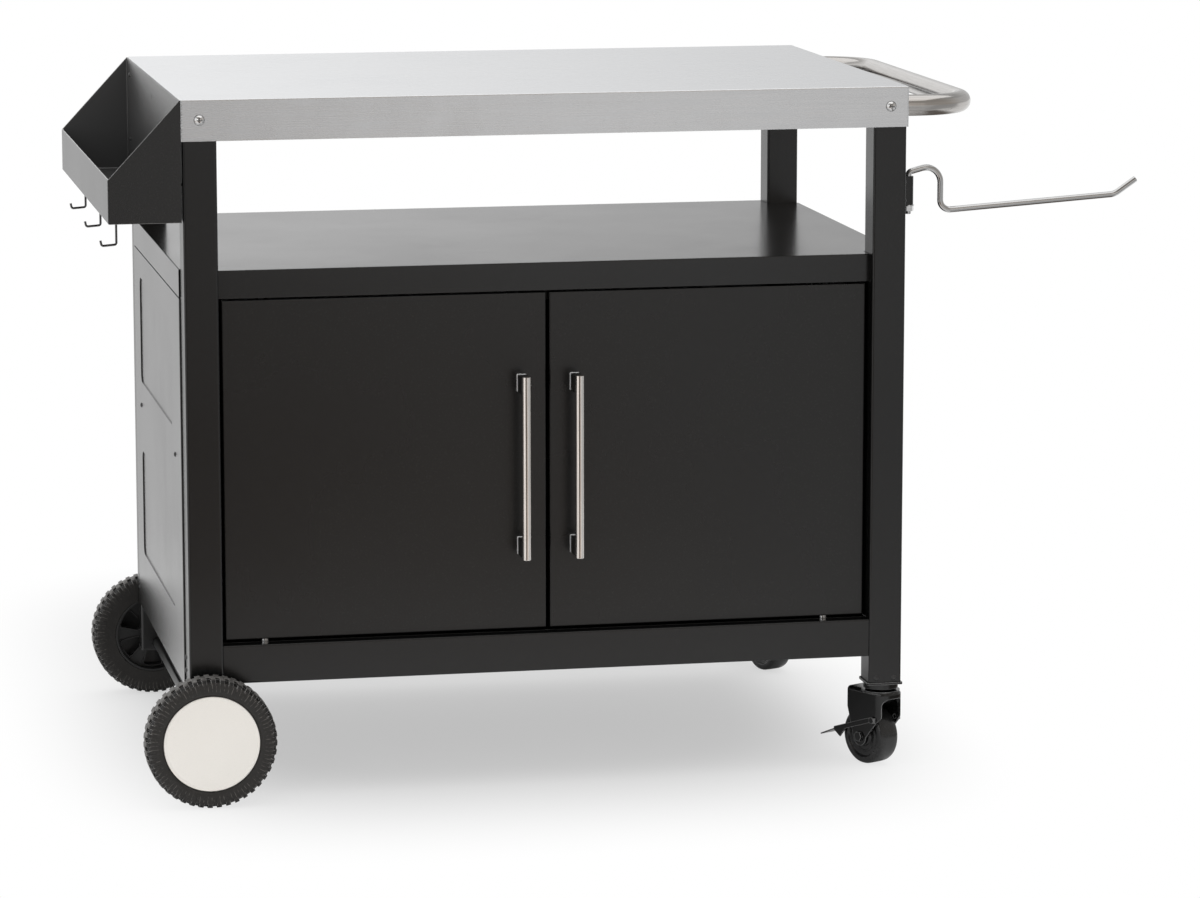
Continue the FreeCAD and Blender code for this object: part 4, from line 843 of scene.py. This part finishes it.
# Bars and tubes, whose long walls shade apart from their small end bevels
bar_edge_angle = 20.0
bar_front = door_front - bar_standoff
for side_name, side in (("left", -1), ("right", 1)):
    bar_ends = [
        (side * bar_from_middle, bar_front, bar_middle_height - bar_half_length),
        (side * bar_from_middle, bar_front, bar_middle_height + bar_half_length),
    ]
    bar = bent_bar(bar_ends, [], bar_radius, sides=40, bend_steps=1, end_width=0.6)
    node = "door_" + side_name + "_handle"
    dressed(node, bar, side_name + "_door", "handle_steel", handle_steel, sharp=bar_edge_angle)

push_height = worktop_height - push_drop
push_far = worktop_half_width + push_reach - push_radius
push_points = [
    (worktop_half_width, -push_half_spread, push_height),
    (push_far, -push_half_spread, push_height),
    (push_far, push_half_spread, push_height),
    (worktop_half_width, push_half_spread, push_height),
]
push_bends = [push_bend, push_bend]
push_bar = bent_bar(push_points, push_bends, push_radius, sides=56, bend_steps=24, end_width=0.3)
dressed("push_handle", push_bar, "frame", "handle_steel", push_steel_shaded, sharp=bar_edge_angle)

swivel_x = leg_x + leg_side / 2 + swivel_offset
rod_points = [(swivel_x + reach, -leg_y, worktop_height - drop) for reach, drop in rod_route]
rod = bent_bar(rod_points, rod_bends, rod_radius, sides=32, bend_steps=14, end_width=0.8)
dressed("tank_hook", rod, "hook", "hook_chrome", hook_chrome, sharp=bar_edge_angle)


# Worktop screws
def cross_head_screw(bm, place):
    """A domed screw with a cross recess, along the place's Z. Its recess is painted dark as shade, and its
    rim as a dark reflection.
    """
    shank = bmesh.ops.create_cone(
        bm,
        cap_ends=True,
        segments=16,
        radius1=mm(shank_tip_radius),
        radius2=mm(shank_radius),
        depth=mm(shank_length),
        matrix=Matrix.Translation((0, 0, mm(-shank_length / 2))),
    )["verts"]
    ball = bmesh.ops.create_uvsphere(bm, u_segments=32, v_segments=24, radius=1.0)["verts"]
    lower_half = [v for v in ball if v.co.z < -1e-4]
    bmesh.ops.delete(bm, geom=lower_half, context="VERTS")
    head = [v for v in ball if v.is_valid]
    for v in head:
        share = v.co.xy.length
        v.co.x *= mm(head_radius)
        v.co.y *= mm(head_radius)
        v.co.z = mm(head_height) * (1 - share**dome_power)
    rim = [e for e in edges_between(head) if e.is_boundary]
    bmesh.ops.contextual_create(bm, geom=rim)

    recess = []
    for f in faces_at(head):
        c = f.calc_center_median()
        out = c.xy.length / mm(head_radius)
        from_arm = math.degrees(math.atan2(c.y, c.x)) % 90
        on_arm = from_arm < recess_half_angle or from_arm > 90 - recess_half_angle
        in_cross = out < recess_centre or (out < recess_arm and on_arm)
        if in_cross and c.z >= mm(head_height * recess_from):
            recess.append(f)
    sunk = vertices(bmesh.ops.extrude_face_region(bm, geom=recess)["geom"])
    bmesh.ops.delete(bm, geom=recess, context="FACES_ONLY")
    for v in sunk:
        v.co.z -= mm(head_height * recess_depth)
    head = sunk + [v for v in head if v.is_valid]
    # The recess floor and the rim's steep flank take the dark material: painted shade and a painted dark
    # reflection
    for f in faces_at(head):
        c = f.calc_center_median()
        out = c.xy.length / mm(head_radius)
        shaded_recess = out < shade_within and c.z < mm(head_height * shade_below)
        f.material_index = int(shaded_recess or out > shade_rim_from)
    bmesh.ops.transform(bm, matrix=place, verts=shank + head)


def worktop_screws():
    """One screw through the apron into each leg, at the front and at the back."""
    bm = bmesh.new()
    for x in (-leg_x, leg_x):
        for facing in (-1, 1):
            turn = Vector((0, 0, 1)).rotation_difference(Vector((0, facing, 0))).to_matrix().to_4x4()
            seat = at(x, facing * worktop_half_depth, worktop_height - screw_drop)
            cross_head_screw(bm, Matrix.Translation(seat) @ turn)
    bmesh.ops.recalc_face_normals(bm, faces=bm.faces)
    return bm


dressed("worktop_screws", worktop_screws(), "frame", "bright_fastener", bright_zinc, dark_zinc_and_screw_shade)


# Studio floor and world, in metres
def soft_shadow(tree, place):
    """From 0 under the cart to 1 where its soft shadow has faded, over a rectangle with rounded corners."""
    middle_and_size = {"Vector": place, "Location": (-0.13, 0.3, 0.0), "Scale": (0.635, 0.95, 1.0)}
    from_middle = add(tree, "ShaderNodeMapping", middle_and_size, vector_type="TEXTURE").outputs[0]
    sides = axes(tree, vector_maths(tree, "ABSOLUTE", from_middle))
    roundness = 4.0
    across = maths(tree, "POWER", sides[0], roundness)
    deep = maths(tree, "POWER", sides[1], roundness)
    reach = maths(tree, "POWER", maths(tree, "ADD", across, deep), 1 / roundness)
    return ramp(tree, reach, 0.53, 1.08, interpolation_type="SMOOTHSTEP")


def floor_finish(name):
    """The camera sees the cart's soft shadow near it and plain white further out. Reflections see a floor
    that is white behind the cart, and in front of it dimmer and warmer towards the left."""
    material = bpy.data.materials.new(name)
    material.use_nodes = True
    tree = material.node_tree
    tree.nodes.clear()
    place = add(tree, "ShaderNodeTexCoord").outputs["Object"]
    x, y, _ = axes(tree, place)
    rays = add(tree, "ShaderNodeLightPath").outputs
    seen = rays["Is Camera Ray"]
    mirrored = rays["Is Glossy Ray"]

    # The mirrored floor in front brightens towards the right, most of all far ahead
    near_level = ramp(tree, x, -0.3, 0.6, 0.34, 0.58)
    near_level = maths(tree, "ADD", near_level, ramp(tree, y, -2.6, -1.3, 0.0, 0.15))
    far_level = product(tree, ramp(tree, x, 0.0, 0.95, 0.4, 1.08), ramp(tree, x, 1.3, 1.8, 1.0, 0.6))
    front_level = mix(tree, ramp(tree, y, -3.9, -4.9), near_level, far_level)

    # Patches that only reflections see, for the upright bars to mirror, which fan out from the doors
    ahead = largest(tree, maths(tree, "SUBTRACT", -0.34, y), 0.05)
    slope = maths(tree, "DIVIDE", x, ahead)
    dark_fan = product(tree, ramp(tree, slope, -0.1, -0.3), ramp(tree, x, -0.42, -0.7), mirrored)
    dim_fan = product(tree, ramp(tree, slope, 0.6, 0.9), mirrored)
    white_fan = product(tree, ramp(tree, slope, -0.86, -0.98), mirrored)
    for fan, fan_level in ((dark_fan, 0.08), (dim_fan, 0.46), (white_fan, 1.04)):
        front_level = mix(tree, fan, front_level, fan_level)
    close_by = product(tree, mirrored, ramp(tree, y, -1.1, -0.8))
    front_level = product(tree, front_level, ramp(tree, close_by, 0.0, 1.0, 1.0, 0.4))

    # White behind, and dark at the right, under the push handle and the hook
    behind = ramp(tree, y, -1.3, 0.3)
    level = mix(tree, behind, front_level, ramp(tree, x, -0.75, -0.3, 0.84, 1.0))
    dark_patch = band(tree, x, rise=(0.58, 0.72), fall=(1.25, 1.0))
    dark_patch = product(tree, dark_patch, ramp(tree, y, -0.95, -0.65), mirrored)
    level = product(tree, level, ramp(tree, dark_patch, 0.0, 1.0, 1.0, 0.15))
    neutral = largest(tree, ramp(tree, x, 0.1, 0.7), ramp(tree, y, -3.7, -4.5), seen, behind)
    neutral = largest(tree, neutral, product(tree, white_fan, 0.7))
    tint = mix_colour(tree, neutral, (1.0, 0.82, 0.7, 1), white)
    strength = largest(tree, seen, level)
    glow = add(tree, "ShaderNodeEmission", {"Color": tint, "Strength": strength}).outputs[0]

    # Close to the cart the floor is painted and takes its shadow, lifted to the photograph's grey
    lift_strength = product(tree, seen, 0.485)
    lift = add(tree, "ShaderNodeEmission", {"Color": white, "Strength": lift_strength}).outputs[0]
    paint = mix_colour(tree, seen, grey(0.93), grey(0.3))
    paint = mix_colour(tree, dark_patch, paint, (0.16, 0.14, 0.125, 1))
    painted = add(tree, "ShaderNodeBsdfDiffuse", {"Color": paint}).outputs[0]
    shaded = add(tree, "ShaderNodeAddShader", {0: lift, 1: painted}).outputs[0]
    mirrored_end = ramp(tree, length(tree, stretched(tree, place, 0.72, 1.0, 1.0)), 0.95, 1.7)
    fans = product(tree, largest(tree, dark_fan, dim_fan, white_fan), ramp(tree, y, -0.7, -1.0))
    shadow_end = mix(tree, seen, largest(tree, mirrored_end, fans), soft_shadow(tree, place))
    surface = add(tree, "ShaderNodeMixShader", {0: shadow_end, 1: shaded, 2: glow}).outputs[0]
    add(tree, "ShaderNodeOutputMaterial", {"Surface": surface})
    return material


floor_mesh = bpy.data.meshes.new("studio_floor")
floor_bm = bmesh.new()
bmesh.ops.create_grid(floor_bm, x_segments=2, y_segments=2, size=floor_half_size)
floor_bm.to_mesh(floor_mesh)
floor_bm.free()
floor_mesh.materials.append(floor_finish("pale studio floor"))
studio_floor = bpy.data.objects.new("studio_floor", floor_mesh)
bpy.context.scene.collection.objects.link(studio_floor)
studio_floor.location = (0, 0, -floor_drop)


def light_world(name):
    """The camera sees a white world, and matt surfaces one a little dimmer. Reflections see it white behind
    the cart and at its left, and as a dimmer, warmer room in front and at its right."""
    world = bpy.data.worlds.new(name)
    world.use_nodes = True
    tree = world.node_tree
    tree.nodes.clear()
    x, y, z = axes(tree, add(tree, "ShaderNodeTexCoord").outputs["Generated"])
    rays = add(tree, "ShaderNodeLightPath").outputs
    mirrored = rays["Is Glossy Ray"]

    open_side = largest(tree, ramp(tree, x, -0.6, -0.68), ramp(tree, y, -0.35, 0.25))
    open_level = ramp(tree, x, 0.1, 0.3, 1.06, 0.65)
    room_level = ramp(tree, x, -0.15, 0.08, 0.14, 0.48)
    level = mix(tree, open_side, room_level, open_level)
    front_card = band(tree, x, rise=(0.12, 0.18), fall=(0.3, 0.24))
    front_card = product(tree, front_card, ramp(tree, y, -0.85, -0.93))
    level = mix(tree, front_card, level, 1.0)
    overhead = product(tree, ramp(tree, z, 0.4, 0.75), 0.9)
    level = mix(tree, overhead, level, 0.4)

    seen = largest(tree, rays["Is Camera Ray"], rays["Is Transmission Ray"])
    strength = mix(tree, mirrored, largest(tree, seen, 0.86), level)
    warm = product(tree, mirrored, maths(tree, "SUBTRACT", 1.0, open_side, clamp=True))
    tint = mix_colour(tree, warm, white, (1.0, 0.935, 0.87, 1))
    surface = add(tree, "ShaderNodeBackground", {"Color": tint, "Strength": strength}).outputs[0]
    add(tree, "ShaderNodeOutputWorld", {"Surface": surface})
    return world


bpy.context.scene.world = light_world("white studio")


def soft_box(name, place, aim, width, height, power):
    light = bpy.data.lights.new(name, "AREA")
    light.shape = "RECTANGLE"
    light.size = width
    light.size_y = height
    light.energy = power
    obj = bpy.data.objects.new(name, light)
    obj.location = place
    obj.rotation_euler = (Vector(aim) - Vector(place)).to_track_quat("-Z", "Y").to_euler()
    bpy.context.scene.collection.objects.link(obj)


soft_box("overhead softbox", (0.1, 0.2, 3.4), (0.0, 0.0, 0.0), width=4.4, height=3.6, power=48.0)
soft_box("front softbox", (-2.2, -3.4, 1.6), (0.0, 0.0, 0.5), width=0.5, height=1.8, power=9.0)

camera_data = bpy.data.cameras.new("camera")
camera_data.lens = camera_lens
camera_data.sensor_width = 36.0
camera_data.clip_end = 200.0
camera = bpy.data.objects.new("camera", camera_data)
bpy.context.scene.collection.objects.link(camera)
camera.location = at(*camera_place)
camera.rotation_euler = Vector(camera_direction).to_track_quat("-Z", "Y").to_euler()
bpy.context.scene.camera = camera
bpy.context.scene.view_settings.view_transform = "Standard"
